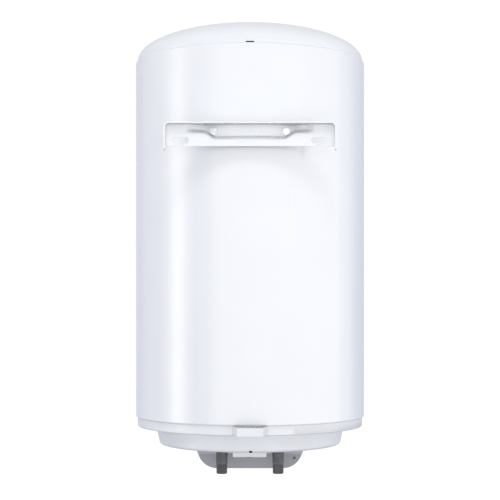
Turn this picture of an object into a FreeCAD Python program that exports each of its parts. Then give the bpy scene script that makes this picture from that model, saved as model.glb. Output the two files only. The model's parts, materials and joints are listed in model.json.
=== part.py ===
"""Wall-hung electric tank water heater: jacket, tank, immersion heater, controls and wall bracket.

Everything is drawn round the tank's axis, with z = 0 at the jacket's lower edge and +Y towards the wall.
On export it moves to its own frame, whose origin is the centre of the bracket's two T-slots.
All lengths are millimetres.
"""
import FreeCAD, Part
import math
import os

V = FreeCAD.Vector

# ---------------------------------------------------------------- driving dimensions
JACKET_R = 220.0            # outer radius of the steel jacket
JACKET_H = 677.0            # its height
JACKET_T = 0.8              # sheet thickness
JACKET_BEND = 3.0           # outer radius of its turned-in edges
EDGE_STEP = 3.8             # how far the cap and the rim stand inside the jacket
LIP_GAP = 0.3               # between the turned-in edge and what passes through it
MOULD_T = 2.2               # wall of the moulded covers
SPIGOT = 13.0               # how far the cap and the rim reach into the jacket

CAP_SKIRT = 4.6             # straight part of the cap above the jacket
CAP_RISE = 63.2             # height of its elliptical dome
CAP_SLOT_W = 17.6           # prying slot at the cap's rear edge
CAP_SLOT_H = 2.3

RIM_H = 17.8                # depth of the bottom rim below the jacket
RIM_ROUND = 3.0             # its rounded lower edge
COLLAR_R = 122.0            # inner radius of the rim's collar round the wiring space
SPACER_FACE_W = 46.0        # wall spacer on the rim: width at the wall
SPACER_BASE_W = 64.0        # and where it leaves the rim
SPACER_H = 14.7
SPACER_RIB_X = 9.5          # the two ribs inside it

RIM_LEDGE = 35.2            # width of the rim's underside left outside the service cover
COVER_DRAFT = 6.0           # how much the service cover narrows towards its rounded edge
COVER_BOTTOM = -52.3        # its underside
COVER_ROUND = 7.0

WALL_GAP = 27.0             # between the jacket and the wall
FLANGE_DEPTH = 14.0         # bracket flanges, from the flat strip to the wall
PLATE_T = 2.5
BRACKET_W = 305.8
BRACKET_TOP = 33.8          # above the slots' line
BRACKET_LOW = 10.0          # plate's lower edge below the slots' line
BRACKET_EAR = 17.5          # lower end of the side flanges, below the slots' line
BRACKET_CORNER = 11.5
SLOT_LINE = 501.5           # height of the slots' line above the jacket's lower edge
SLOT_SPACING = 244.0
SLOT_L = 31.0
SLOT_W = 11.5
NECK_W = 10.2
NECK_FLARE = 3.0
POCKET_HALF = 112.0         # half width of the bracket's hollow where it leaves the flat strip
POCKET_ANGLE = 35.0         # slope of the hollow's ends
POCKET_Z = 1.5              # lower edge of the hollow in the middle, above the slots' line
POCKET_END_Z = 13.0         # and near its ends
POCKET_STEP_X = 60.0        # half width of the deeper middle part
POCKET_STEP_RUN = 24.0      # width of the slope from one to the other
BRACKET_GAP = 1.0           # between the jacket and the bottom of the hollow
BOLT_SPACING = 124.2        # bracket bolts, across the bottom of the hollow
BOLT_Z = 17.6               # above the slots' line
BOLT_HEAD_H = 5.3
BOLT_PLAY = 0.5             # of the bolts in the bracket's holes
WASHER_T = 1.6
WASHER_R = 9.0
SOCKET_R = 9.0              # threaded bosses behind the bolts

FOAM_T = 22.2               # foam between jacket and tank
FOAM_TOP = 9.0              # tank's upper weld line below the jacket's upper edge
TANK_T = 2.0
HEAD_T = 2.5
TANK_LOW = 70.0             # height of the tank's lower weld line
HEAD_LOW_RISE = 55.0
HEAD_HIGH_RISE = 48.0

LATCH_X = -1.2              # small latch window at the service cover's rear edge
LATCH_W = 6.0
LATCH_H = 4.3

PIPE_SPACING = 105.0
PIPE_Y = 87.0
PIPE_R = 10.65              # half inch pipe
PIPE_BORE_R = 7.8
THREAD_R = 10.478           # G 1/2 male thread, crest radius
THREAD_L = 20.0
PIPE_END = -100.3
PIPE_TOP = 36.0

FLANGE_Y = -25.0            # centre of the heater flange
NECK_R = 46.0
NECK_T = 3.0
FLANGE_R = 66.0
STUD_CIRCLE_R = 56.0
STUD_COUNT = 6
STUD_R = 4.0                # M8
RING_TOP = 6.0
RING_T = 8.0
GASKET_T = 3.0
FLANGE_T = 4.0
NUT_AF = 13.0
NUT_H = 6.5

ELEMENT_R = 4.2
ELEMENT_X = 22.0
ELEMENT_DY = -18.0          # element legs, from the flange's centre
ELEMENT_TOP = 330.0
POCKET_R = 7.0
POCKET_TOP = 300.0
ANODE_R = 10.5
ANODE_DY = 25.0
ANODE_L = 260.0

STAT_R = 30.0               # thermostat
STAT_H = 24.0
STAT_DROP = 13.0            # its top, below the flange
SPINDLE_R = 3.0
RESET_X = 15.0
RESET_R = 3.2
RESET_OUT = 3.0
RUN_GAP = 0.05              # radial clearance of a turning or sliding fit
FREE_GAP = 0.3              # between pieces that move apart

HOUSING_W = 200.6
HOUSING_H = 45.1
HOUSING_CORNER = 38.0
HOUSING_REAR_Y = 35.0
HOUSING_SETBACK = 25.0      # between the cover's edge and the housing's round front
HOUSING_T = 2.4
PILLAR_R = 6.5              # screw pillars inside it
REAR_SCREW_X = -84.4        # screw hole in its rear face
REAR_SCREW_Z = -77.4
REAR_SCREW_R = 2.6
SLOPE_Y = -62.0             # where the underside starts to rise to the front
SLOPE_ANGLE = 20.5
BAND_H = 17.2               # proud band under the cover
BAND_OUT = 0.8
WELL_GAP = 6.0              # finger room round the knob
WELL_DEPTH = 9.0
KNOB_R = 24.0
KNOB_DISC_T = 4.0
KNOB_OUT = 4.5              # grip below the housing
KNOB_GRIP_W = 9.0
KNOB_STEM_R = 6.0
LAMP_Y = -105.0
LAMP_R = 5.0
LAMP_OUT = 1.6

ENTRY_X = 1.0               # box over the mains cable's entry
ENTRY_W = 63.0
ENTRY_D = 40.0
ENTRY_REAR_Y = 100.0
ENTRY_LOW = -69.0
GROMMET_WALL = 3.85         # rubber round each pipe
GROMMET_LIP = 2.0           # overlap with the edge of the cover's hole
GLAND_R = 9.0
GLAND_BORE_R = 4.6
GLAND_LIP = 1.5             # lip under the entry box
GLAND_L = 10.0

POLE_R = 5.0                # flat at the middle of each dome
TERMINAL_W = 46.0
TERMINAL_D = 20.0
TERMINAL_H = 14.0
SCREW_R = 2.0
SCREW_HEAD_R = 4.0
LEAD_R = 1.3

# ---------------------------------------------------------------- sizes that follow from them
END_R = JACKET_R - EDGE_STEP
COVER_TOP_R = END_R - RIM_LEDGE
COVER_LOW_R = COVER_TOP_R - COVER_DRAFT
WALL_Y = JACKET_R + WALL_GAP
PLATE_Y = WALL_Y - FLANGE_DEPTH
CAP_BASE = JACKET_H + CAP_SKIRT
JACKET_IN = JACKET_R - JACKET_T
TANK_R = JACKET_IN - FOAM_T
TANK_HIGH = JACKET_H - FOAM_TOP
RIM_FLOOR = -RIM_H + MOULD_T
RING_LOW = RING_TOP - RING_T
GASKET_LOW = RING_LOW - GASKET_T
FLANGE_LOW = GASKET_LOW - FLANGE_T
STAT_TOP = FLANGE_LOW - STAT_DROP
STAT_LOW = STAT_TOP - STAT_H
HOUSING_LOW = COVER_BOTTOM - HOUSING_H
WELL_FLOOR = HOUSING_LOW + WELL_DEPTH
KNOB_TOP = WELL_FLOOR - 2 * FREE_GAP
KNOB_LOW = HOUSING_LOW - KNOB_OUT
FLOOR_R = JACKET_R + BRACKET_GAP + PLATE_T   # wall side of the bracket's hollow
HOLLOW_Y = FLOOR_R - 33.5                    # where the drawing of the hollow starts
BOLT_ANGLE = math.degrees(math.asin(BOLT_SPACING / 2 / FLOOR_R))
COVER_FLOOR = COVER_BOTTOM + MOULD_T
HOUSING_FRONT_R = COVER_LOW_R - HOUSING_SETBACK
WELL_R = KNOB_R + WELL_GAP
GROMMET_R = PIPE_R + GROMMET_WALL
TERMINAL_Y = COLLAR_R + TERMINAL_D


# ---------------------------------------------------------------- helpers
def line(p, q):
    """Straight profile edge between two (radius, z) points."""
    return Part.LineSegment(V(p[0], 0, p[1]), V(q[0], 0, q[1])).toShape()


def arc(p, mid, q):
    """Profile arc through three (radius, z) points."""
    return Part.Arc(V(p[0], 0, p[1]), V(mid[0], 0, mid[1]), V(q[0], 0, q[1])).toShape()


def quarter(centre, r, start_deg):
    """Quarter circle of the profile plane, from start_deg onwards."""
    pts = []
    for step in (0, 45, 90):
        a = math.radians(start_deg + step)
        pts.append((centre[0] + r * math.cos(a), centre[1] + r * math.sin(a)))
    return arc(*pts)


def ellipse_z(a, b, r):
    """Rise of the ellipse with semi-axes a and b at radius r."""
    return b * math.sqrt(1 - (r / a) ** 2)


def ellipse_arc(a, b, z, up, r_end):
    """Elliptical profile arc from radius a at height z to radius r_end, above or below z."""
    rise = b if up else -b
    curve = Part.Ellipse(V(a, 0, z), V(0, 0, z + rise), V(0, 0, z))
    return Part.ArcOfEllipse(curve, 0, math.acos(r_end / a)).toShape()


def dome(a, b, z, up):
    """Elliptical profile to the axis, with a small flat at the pole, and the pole's height."""
    pole = z + (1 if up else -1) * ellipse_z(a, b, POLE_R)
    return [ellipse_arc(a, b, z, up, POLE_R), line((POLE_R, pole), (0, pole))], pole


def polyline(points):
    return [line(p, q) for p, q in zip(points, points[1:])]


def revolved(edges):
    """Solid of revolution about the tank's axis from a closed loop of profile edges."""
    wire = Part.Wire(Part.__sortEdges__(edges))
    return Part.Face(wire).revolve(V(0, 0, 0), V(0, 0, 1), 360)


def cyl(r, z0, z1, x=0.0, y=0.0):
    return Part.makeCylinder(r, z1 - z0, V(x, y, z0))


def ring(r_out, r_in, z0, z1, x=0.0, y=0.0):
    return cyl(r_out, z0, z1, x, y).cut(cyl(r_in, z0 - 1, z1 + 1, x, y))


def box(x0, x1, y0, y1, z0, z1):
    return Part.makeBox(x1 - x0, y1 - y0, z1 - z0, V(x0, y0, z0))


def prism(points, axis, start, length):
    """Solid from a closed outline, extruded along one axis; points leave that axis out."""
    order = {"x": lambda p: V(start, p[0], p[1]), "y": lambda p: V(p[0], start, p[1])}
    order["z"] = lambda p: V(p[0], p[1], start)
    along = {"x": V(length, 0, 0), "y": V(0, length, 0), "z": V(0, 0, length)}
    corners = [order[axis](p) for p in points]
    return Part.Face(Part.makePolygon(corners + corners[:1])).extrude(along[axis])


def hexagon(af, z0, z1, x=0.0, y=0.0):
    corner = af / math.sqrt(3)
    pts = []
    for k in range(6):
        a = math.radians(60 * k + 30)
        pts.append((x + corner * math.cos(a), y + corner * math.sin(a)))
    return prism(pts, "z", z0, z1 - z0)


def on_circle(count, r, x=0.0, y=0.0, first_deg=0.0):
    pts = []
    for k in range(count):
        a = math.radians(first_deg + 360.0 * k / count)
        pts.append((x + r * math.cos(a), y + r * math.sin(a)))
    return pts


def fused(shapes):
    first, rest = shapes[0], shapes[1:]
    return first.fuse(rest).removeSplitter() if rest else first


def without(shape, tools):
    return shape.cut(tools)


def radial(shape, angle):
    """Turn a shape drawn along +Y to one side of the centre line."""
    turned = shape.copy()
    turned.rotate(V(0, 0, 0), V(0, 0, 1), -angle)
    return turned


def along_y(r, y0, y1, z):
    return Part.makeCylinder(r, y1 - y0, V(0, y0, z), V(0, 1, 0))


def bent_lead(points, bend, r=LEAD_R):
    """Insulated lead along straight runs joined by tangent arcs of one bend radius."""
    edges = []
    here = V(*points[0])
    for before, corner, after in zip(points, points[1:], points[2:]):
        c = V(*corner)
        u = (V(*before) - c).normalize()
        w = (V(*after) - c).normalize()
        half = math.acos(max(-1.0, min(1.0, u.dot(w)))) / 2
        reach = bend / math.tan(half)
        start = c + u * reach
        end = c + w * reach
        centre = c + (u + w).normalize() * (bend / math.sin(half))
        mid = centre + (c - centre).normalize() * bend
        edges.append(Part.LineSegment(here, start).toShape())
        edges.append(Part.Arc(start, mid, end).toShape())
        here = end
    edges.append(Part.LineSegment(here, V(*points[-1])).toShape())
    path = Part.Wire(edges)
    first = edges[0]
    tangent = first.tangentAt(first.FirstParameter)
    section = Part.Wire(Part.makeCircle(r, V(*points[0]), tangent))
    return path.makePipeShell([section], True, True)


def screw(x, y, z_head, length):
    """Cross-head screw pointing up, its head's underside at z_head."""
    body = cyl(SCREW_R, z_head, z_head + length, x, y)
    head = cyl(SCREW_HEAD_R, z_head - 2.2, z_head, x, y)
    cross = [box(x - 2.2, x + 2.2, y - 0.5, y + 0.5, z_head - 3, z_head - 1)]
    cross.append(box(x - 0.5, x + 0.5, y - 2.2, y + 2.2, z_head - 3, z_head - 1))
    return without(fused([body, head]), cross)


parts = {}

# ---------------------------------------------------------------- jacket, cap, rim
LIP_R = END_R + LIP_GAP
INNER_BEND = JACKET_BEND - JACKET_T
BEND_R0 = JACKET_R - JACKET_BEND


def jacket():
    """Rolled sheet tube with both edges turned in."""
    low_c = (BEND_R0, JACKET_BEND)
    high_c = (BEND_R0, JACKET_H - JACKET_BEND)
    edges = [
        line((LIP_R, 0), (BEND_R0, 0)),
        quarter(low_c, JACKET_BEND, -90),
        line((JACKET_R, JACKET_BEND), (JACKET_R, JACKET_H - JACKET_BEND)),
        quarter(high_c, JACKET_BEND, 0),
        line((BEND_R0, JACKET_H), (LIP_R, JACKET_H)),
        line((LIP_R, JACKET_H), (LIP_R, JACKET_H - JACKET_T)),
        line((LIP_R, JACKET_H - JACKET_T), (BEND_R0, JACKET_H - JACKET_T)),
        quarter(high_c, INNER_BEND, 0),
        line((JACKET_IN, JACKET_H - JACKET_BEND), (JACKET_IN, JACKET_BEND)),
        quarter(low_c, INNER_BEND, -90),
        line((BEND_R0, JACKET_T), (LIP_R, JACKET_T)),
        line((LIP_R, JACKET_T), (LIP_R, 0)),
    ]
    return revolved(edges)


def cap():
    """Domed lid with a spigot that enters the jacket."""
    low = JACKET_H - SPIGOT
    r_in = END_R - MOULD_T
    outside, top = dome(END_R, CAP_RISE, CAP_BASE, True)
    inside, under = dome(r_in, CAP_RISE - MOULD_T, CAP_BASE, True)
    edges = outside + inside + [line((0, top), (0, under))]
    edges += polyline([(r_in, CAP_BASE), (r_in, low), (END_R, low), (END_R, CAP_BASE)])
    slot_z = JACKET_H + 0.2
    slot = box(-CAP_SLOT_W / 2, CAP_SLOT_W / 2, r_in - 5, END_R + 5, slot_z, slot_z + CAP_SLOT_H)
    return revolved(edges).cut(slot)


BOSS_R = 5.0
COVER_BOSS_Y = 30.0
COVER_BOSS_X = (COLLAR_R + COVER_LOW_R) / 2
COVER_BOSS_XY = [(COVER_BOSS_X, COVER_BOSS_Y), (-COVER_BOSS_X, COVER_BOSS_Y)]


def rim():
    """Moulded bottom tray: skirt, floor, collar round the wiring space, screw bosses and wall spacer."""
    r_in = END_R - MOULD_T
    collar_out = COLLAR_R + MOULD_T
    collar_top = TANK_LOW - ellipse_z(TANK_R, HEAD_LOW_RISE, collar_out) - 2.5
    edges = polyline([
        (END_R, -RIM_H + RIM_ROUND), (END_R, SPIGOT), (r_in, SPIGOT), (r_in, RIM_FLOOR),
        (collar_out, RIM_FLOOR), (collar_out, collar_top), (COLLAR_R, collar_top), (COLLAR_R, -RIM_H),
        (END_R - RIM_ROUND, -RIM_H)])
    edges.append(quarter((END_R - RIM_ROUND, -RIM_H + RIM_ROUND), RIM_ROUND, -90))
    tray = revolved(edges)
    bosses = [cyl(BOSS_R, COVER_FLOOR, -RIM_H, x, y) for x, y in COVER_BOSS_XY]
    top = -LIP_GAP
    low = top - SPACER_H
    inside_y = 205.0
    outer = prism([(-SPACER_BASE_W / 2, inside_y), (-SPACER_BASE_W / 2, END_R - 4),
                   (-SPACER_FACE_W / 2, WALL_Y), (SPACER_FACE_W / 2, WALL_Y),
                   (SPACER_BASE_W / 2, END_R - 4), (SPACER_BASE_W / 2, inside_y)], "z", low, SPACER_H)
    half_face = SPACER_FACE_W / 2 - MOULD_T
    half_base = SPACER_BASE_W / 2 - MOULD_T
    hollow = prism([(-half_base, inside_y - 1), (-half_base, END_R - 4), (-half_face, WALL_Y - MOULD_T),
                    (half_face, WALL_Y - MOULD_T), (half_base, END_R - 4), (half_base, inside_y - 1)],
                   "z", low + MOULD_T, SPACER_H)
    ribs = [box(x - 0.9, x + 0.9, END_R - 6, WALL_Y - 1, low + 1, top) for x in (-SPACER_RIB_X, SPACER_RIB_X)]
    spacer = fused([outer.cut(hollow)] + ribs).cut(cyl(END_R - 1, low - 5, top + 5))
    whole = fused([tray] + bosses + [spacer])
    pilots = [cyl(SCREW_R, COVER_FLOOR - 1, RIM_FLOOR + 1, x, y) for x, y in COVER_BOSS_XY]
    return without(whole, pilots)


parts["outer_jacket"] = jacket()
parts["top_cap"] = cap()
parts["bottom_rim"] = rim()

# ---------------------------------------------------------------- lower cover, cable entry, housing
PIPES = {"cold_inlet_nipple": PIPE_SPACING / 2, "hot_outlet_nipple": -PIPE_SPACING / 2}


def cover_form(shrink):
    """Outside of the service cover, or its inside when shrunk by the wall."""
    low = COVER_BOTTOM + shrink
    top = -RIM_H
    r_top = COVER_TOP_R - shrink
    r_low = COVER_LOW_R - shrink
    rnd = COVER_ROUND - shrink
    edges = polyline([(0, low), (r_low - rnd, low)])
    edges.append(quarter((r_low - rnd, low + rnd), rnd, -90))
    edges += polyline([(r_low, low + rnd), (r_top, top), (0, top), (0, low)])
    return revolved(edges)


def entry_form(shrink):
    """White box over the mains entry, standing on the cover's underside."""
    half = ENTRY_W / 2 - shrink
    body = box(ENTRY_X - half, ENTRY_X + half, ENTRY_REAR_Y - ENTRY_D + shrink, ENTRY_REAR_Y - shrink,
               ENTRY_LOW + shrink, COVER_BOTTOM)
    return body


GLAND_Y = ENTRY_REAR_Y - ENTRY_D / 2


def lower_cover():
    shell = cover_form(0.0).cut(cover_form(MOULD_T))
    depth = COVER_BOTTOM - 5
    cuts = [cyl(GROMMET_R - GROMMET_LIP, depth, COVER_FLOOR + 5, x, PIPE_Y) for x in PIPES.values()]
    cuts.append(box(-78, 78, -115, HOUSING_REAR_Y - 12, depth, COVER_FLOOR + 5))
    cuts.append(cyl(GLAND_R + 3, depth, COVER_FLOOR + 5, ENTRY_X, GLAND_Y))
    cuts += [cyl(SCREW_R + 0.3, depth, COVER_FLOOR + 5, x, y) for x, y in COVER_BOSS_XY]
    cuts += [cyl(SCREW_R, depth, COVER_FLOOR + 5, x, y) for x, y in HOUSING_SCREW_XY]
    latch = box(LATCH_X - LATCH_W / 2, LATCH_X + LATCH_W / 2, COVER_LOW_R - 14, COVER_LOW_R + 5,
                COVER_BOTTOM - 1, COVER_BOTTOM + LATCH_H)
    return without(shell, cuts + [latch])


def housing_form(grow):
    """Outside of the control housing; a negative grow gives its inside."""
    half = HOUSING_W / 2 + grow
    low = HOUSING_LOW - grow
    rnd = HOUSING_CORNER + grow
    rear = HOUSING_REAR_Y + grow
    front = -HOUSING_FRONT_R - 10
    top = COVER_BOTTOM
    k = math.sqrt(0.5)
    pts = [(-half, top), (-half, low + rnd), (-half + rnd - rnd * k, low + rnd - rnd * k), (-half + rnd, low),
           (half - rnd, low), (half - rnd + rnd * k, low + rnd - rnd * k), (half, low + rnd), (half, top)]
    p = [V(x, front, z) for x, z in pts]
    edges = [
        Part.LineSegment(p[0], p[1]).toShape(), Part.Arc(p[1], p[2], p[3]).toShape(),
        Part.LineSegment(p[3], p[4]).toShape(), Part.Arc(p[4], p[5], p[6]).toShape(),
        Part.LineSegment(p[6], p[7]).toShape(), Part.LineSegment(p[7], p[0]).toShape(),
    ]
    body = Part.Face(Part.Wire(edges)).extrude(V(0, rear - front, 0))
    body = body.common(cyl(HOUSING_FRONT_R + grow, low - 5, top + 5))
    slope = math.tan(math.radians(SLOPE_ANGLE))
    start_z = HOUSING_LOW - grow / math.cos(math.radians(SLOPE_ANGLE))
    far = front - 20
    wedge = prism([(SLOPE_Y + 60, start_z - 60 * slope), (far, start_z + (SLOPE_Y - far) * slope),
                   (far, low - 80), (SLOPE_Y + 60, low - 80)], "x", -half - 20, 2 * half + 40)
    return body.cut(wedge)


HOUSING_SCREW_XY = [(62.0, 22.0), (-62.0, 22.0), (88.0, -60.0), (-88.0, -60.0)]
HOUSING_HEAD_Z = [HOUSING_LOW + 8.0, HOUSING_LOW + 8.0, HOUSING_LOW + 12.0, HOUSING_LOW + 12.0]
slope_rad = math.radians(SLOPE_ANGLE)
LAMP_Z = HOUSING_LOW + (SLOPE_Y - LAMP_Y) * math.tan(slope_rad)
LAMP_DIR = V(0, -math.sin(slope_rad), -math.cos(slope_rad))


def along_lamp(r, start, end):
    """Cylinder on the lamp's axis, from start to end measured outwards from the sloping face."""
    base = V(0, LAMP_Y, LAMP_Z) + LAMP_DIR * start
    return Part.makeCylinder(r, end - start, base, LAMP_DIR)


def control_housing():
    """Grey moulding under the cover: knob well, lamp hole, screw pillars and a proud upper band."""
    band = housing_form(BAND_OUT).common(box(-200, 200, -200, 200, COVER_BOTTOM - BAND_H, COVER_BOTTOM))
    outside = housing_form(0.0).fuse(band).removeSplitter()
    shell = outside.cut(housing_form(-HOUSING_T))
    well = cyl(WELL_R + HOUSING_T, HOUSING_LOW, WELL_FLOOR + HOUSING_T, 0, FLANGE_Y)
    pillars = [cyl(PILLAR_R, HOUSING_LOW, COVER_BOTTOM, x, y) for x, y in HOUSING_SCREW_XY]
    pillars = [p.common(housing_form(-0.5)) for p in pillars]
    whole = fused([shell, well] + pillars)
    cuts = [cyl(WELL_R, HOUSING_LOW - 5, WELL_FLOOR, 0, FLANGE_Y)]
    cuts.append(cyl(KNOB_STEM_R + FREE_GAP + 0.2, WELL_FLOOR - 1, WELL_FLOOR + 10, 0, FLANGE_Y))
    cuts.append(along_lamp(LAMP_R, -12, 5))
    cuts += [cyl(SCREW_R, HOUSING_LOW - 5, COVER_BOTTOM + 1, x, y) for x, y in HOUSING_SCREW_XY]
    cuts += [cyl(SCREW_HEAD_R + 0.4, HOUSING_LOW - 15, HOUSING_HEAD_Z[i], x, y)
             for i, (x, y) in enumerate(HOUSING_SCREW_XY)]
    rear_hole = Part.makeCylinder(REAR_SCREW_R, 12, V(REAR_SCREW_X, HOUSING_REAR_Y - 6, REAR_SCREW_Z), V(0, 1, 0))
    return without(whole, cuts + [rear_hole])


def control_knob():
    """Round knob with a raised grip bar and a stem that takes the spindle."""
    disc = cyl(KNOB_R, KNOB_TOP - KNOB_DISC_T, KNOB_TOP, 0, FLANGE_Y)
    disc = disc.makeFillet(1.0, [e for e in disc.Edges if len(e.Vertexes) == 1])
    half = KNOB_GRIP_W / 2
    reach = KNOB_R - 2.0
    bar = box(-half, half, FLANGE_Y - reach, FLANGE_Y + reach, KNOB_LOW, KNOB_TOP - 1)
    bar = bar.makeFillet(3.0, [e for e in bar.Edges if e.BoundBox.ZMax < KNOB_LOW + 0.1 or e.BoundBox.ZLength > 5])
    stem = cyl(KNOB_STEM_R, KNOB_TOP - 1, KNOB_TOP + 12, 0, FLANGE_Y)
    return fused([disc, bar, stem]).cut(cyl(SPINDLE_R, KNOB_LOW + 6, KNOB_TOP + 20, 0, FLANGE_Y))


def cable_entry_box():
    form = entry_form(0.0)
    lower = [e for e in form.Edges if e.BoundBox.ZMax < ENTRY_LOW + 0.1 or e.BoundBox.ZLength > 5]
    shell = form.makeFillet(2.5, lower).cut(entry_form(MOULD_T))
    return shell.cut(cyl(GLAND_R, ENTRY_LOW - 5, ENTRY_LOW + 5, ENTRY_X, GLAND_Y))


def cable_gland():
    """Rubber bush for the mains cable; its bore is left open."""
    low = ENTRY_LOW - GLAND_LIP
    body = cyl(GLAND_R, low, low + GLAND_L, ENTRY_X, GLAND_Y)
    lip = cyl(GLAND_R + 2, low, ENTRY_LOW, ENTRY_X, GLAND_Y)
    keep = cyl(GLAND_R + 1.5, ENTRY_LOW + MOULD_T, ENTRY_LOW + MOULD_T + 2, ENTRY_X, GLAND_Y)
    return fused([body, lip, keep]).cut(cyl(GLAND_BORE_R, ENTRY_LOW - 10, ENTRY_LOW + 20, ENTRY_X, GLAND_Y))


def grommets():
    rings = []
    for x in PIPES.values():
        low = ring(GROMMET_R, PIPE_R, COVER_BOTTOM - 2.5, COVER_BOTTOM, x, PIPE_Y)
        mid = ring(GROMMET_R - GROMMET_LIP, PIPE_R, COVER_BOTTOM - 1, COVER_FLOOR + 1, x, PIPE_Y)
        high = ring(GROMMET_R, PIPE_R, COVER_FLOOR, COVER_FLOOR + 2.0, x, PIPE_Y)
        rings.append(fused([low, mid, high]))
    return Part.makeCompound(rings)


parts["lower_cover"] = lower_cover()
parts["cable_entry_box"] = cable_entry_box()
parts["cable_gland"] = cable_gland()
parts["nipple_grommets"] = grommets()
parts["control_housing"] = control_housing()
parts["control_knob"] = control_knob()
parts["cover_screws"] = Part.makeCompound([screw(x, y, COVER_BOTTOM, 24) for x, y in COVER_BOSS_XY])
parts["housing_screws"] = Part.makeCompound(
    [screw(x, y, HOUSING_HEAD_Z[i], COVER_FLOOR + 1 - HOUSING_HEAD_Z[i])
     for i, (x, y) in enumerate(HOUSING_SCREW_XY)])
parts["pilot_lamp_lens"] = along_lamp(LAMP_R, -2.0, 0.2).fuse(
    along_lamp(LAMP_R + 1.2, 0.0, LAMP_OUT)).removeSplitter()
parts["pilot_lamp_body"] = along_lamp(LAMP_R - 0.6, -20.0, -2.0)

# ---------------------------------------------------------------- wall bracket
SLOT_XS = (-SLOT_SPACING / 2, SLOT_SPACING / 2)


def bracket_outline(inset, low, ear, y0, y1):
    """Front outline of the bracket with round top corners, extruded from y0 to y1."""
    half = BRACKET_W / 2 - inset
    top = SLOT_LINE + BRACKET_TOP - inset
    rnd = BRACKET_CORNER - inset
    k = rnd * (1 - math.sqrt(0.5))
    p = [V(-half, y0, low), V(-half, y0, top - rnd), V(-half + k, y0, top - k), V(-half + rnd, y0, top),
         V(half - rnd, y0, top), V(half - k, y0, top - k), V(half, y0, top - rnd), V(half, y0, low)]
    edges = [
        Part.LineSegment(p[0], p[1]).toShape(), Part.Arc(p[1], p[2], p[3]).toShape(),
        Part.LineSegment(p[3], p[4]).toShape(), Part.Arc(p[4], p[5], p[6]).toShape(),
        Part.LineSegment(p[6], p[7]).toShape(), Part.LineSegment(p[7], p[0]).toShape(),
    ]
    plate = Part.Face(Part.Wire(edges)).extrude(V(0, y1 - y0, 0))
    if not ear:
        return plate
    ears = [box(s * half - (PLATE_T if s > 0 else 0), s * half + (PLATE_T if s < 0 else 0),
                PLATE_Y - PLATE_T, WALL_Y, ear, low + 1) for s in (-1, 1)]
    return fused([plate] + ears)


def wall_side(depth):
    """Room in front of the pressed sheet, or in front of its rear face when depth is its thickness."""
    low = SLOT_LINE - 60
    high = SLOT_LINE + 60
    tan = math.tan(math.radians(POCKET_ANGLE))
    shift = depth / math.sin(math.radians(POCKET_ANGLE))
    y0 = HOLLOW_Y
    y1 = WALL_Y + 20
    x0 = POCKET_HALF - (PLATE_Y - y0) / tan + shift
    x1 = POCKET_HALF + shift
    hollow = prism([(-x0, y0), (-x1, PLATE_Y), (-x1, y1), (x1, y1), (x1, PLATE_Y), (x0, y0)],
                   "z", SLOT_LINE + POCKET_Z - depth, high)
    hollow = hollow.cut(cyl(FLOOR_R - depth, low, high + SLOT_LINE))
    z_mid = SLOT_LINE + POCKET_Z - depth
    z_end = SLOT_LINE + POCKET_END_Z - depth
    outline = [(-x1 - 1, high), (-x1 - 1, z_end), (-POCKET_STEP_X - POCKET_STEP_RUN, z_end),
               (-POCKET_STEP_X, z_mid), (POCKET_STEP_X, z_mid), (POCKET_STEP_X + POCKET_STEP_RUN, z_end),
               (x1 + 1, z_end), (x1 + 1, high)]
    hollow = hollow.common(prism(outline, "y", y0 - 1, y1 - y0 + 2))
    flat = box(-300, 300, PLATE_Y - depth, y1, low, high + SLOT_LINE)
    return flat.fuse(hollow).removeSplitter()


def t_slot(x):
    """Cut for one keyhole-like slot: a long hole with a flared neck open at the plate's lower edge."""
    z = SLOT_LINE
    r = SLOT_W / 2
    run = SLOT_L / 2 - r
    y0 = PLATE_Y - 12
    depth = 30.0
    cuts = [box(x - run, x + run, y0, y0 + depth, z - r, z + r)]
    cuts += [Part.makeCylinder(r, depth, V(x + s * run, y0, z), V(0, 1, 0)) for s in (-1, 1)]
    low = z - BRACKET_LOW
    half = NECK_W / 2
    pts = [(x - half, z), (x - half, low + NECK_FLARE), (x - half - NECK_FLARE, low - 1),
           (x + half + NECK_FLARE, low - 1), (x + half, low + NECK_FLARE), (x + half, z)]
    cuts.append(prism(pts, "y", y0, depth))
    return fused(cuts)


BOLT_HEIGHT = SLOT_LINE + BOLT_Z
BOLT_SIDES = (-BOLT_ANGLE, BOLT_ANGLE)


def wall_bracket():
    """Pressed steel hanger: flat strip with T-slots, hollow bolted to the tank, flange on three sides."""
    low = SLOT_LINE - BRACKET_LOW
    outer = bracket_outline(0.0, low, SLOT_LINE - BRACKET_EAR, HOLLOW_Y, WALL_Y)
    inner = bracket_outline(PLATE_T, SLOT_LINE - 60, None, HOLLOW_Y - 10, WALL_Y + 15)
    plate = outer.common(wall_side(PLATE_T)).cut(inner.common(wall_side(0.0)))
    cuts = [t_slot(x) for x in SLOT_XS]
    hole = along_y(STUD_R + BOLT_PLAY, FLOOR_R - 10, FLOOR_R + 10, BOLT_HEIGHT)
    cuts += [radial(hole, a) for a in BOLT_SIDES]
    return without(plate, cuts)


def bracket_bolt():
    """M8 hexagon bolt drawn along +Y, its head against the washer."""
    seat = FLOOR_R + WASHER_T
    shank = along_y(STUD_R, TANK_R + 3, seat, BOLT_HEIGHT)
    head = hexagon(NUT_AF, 0, BOLT_HEAD_H)
    head = head.common(Part.makeCone(NUT_AF / 2 + 6.2, NUT_AF / 2 - 0.4, 6.6, V(0, 0, 0)))
    head.rotate(V(0, 0, 0), V(1, 0, 0), -90)
    head.translate(V(0, seat, BOLT_HEIGHT))
    return fused([shank, head])


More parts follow.
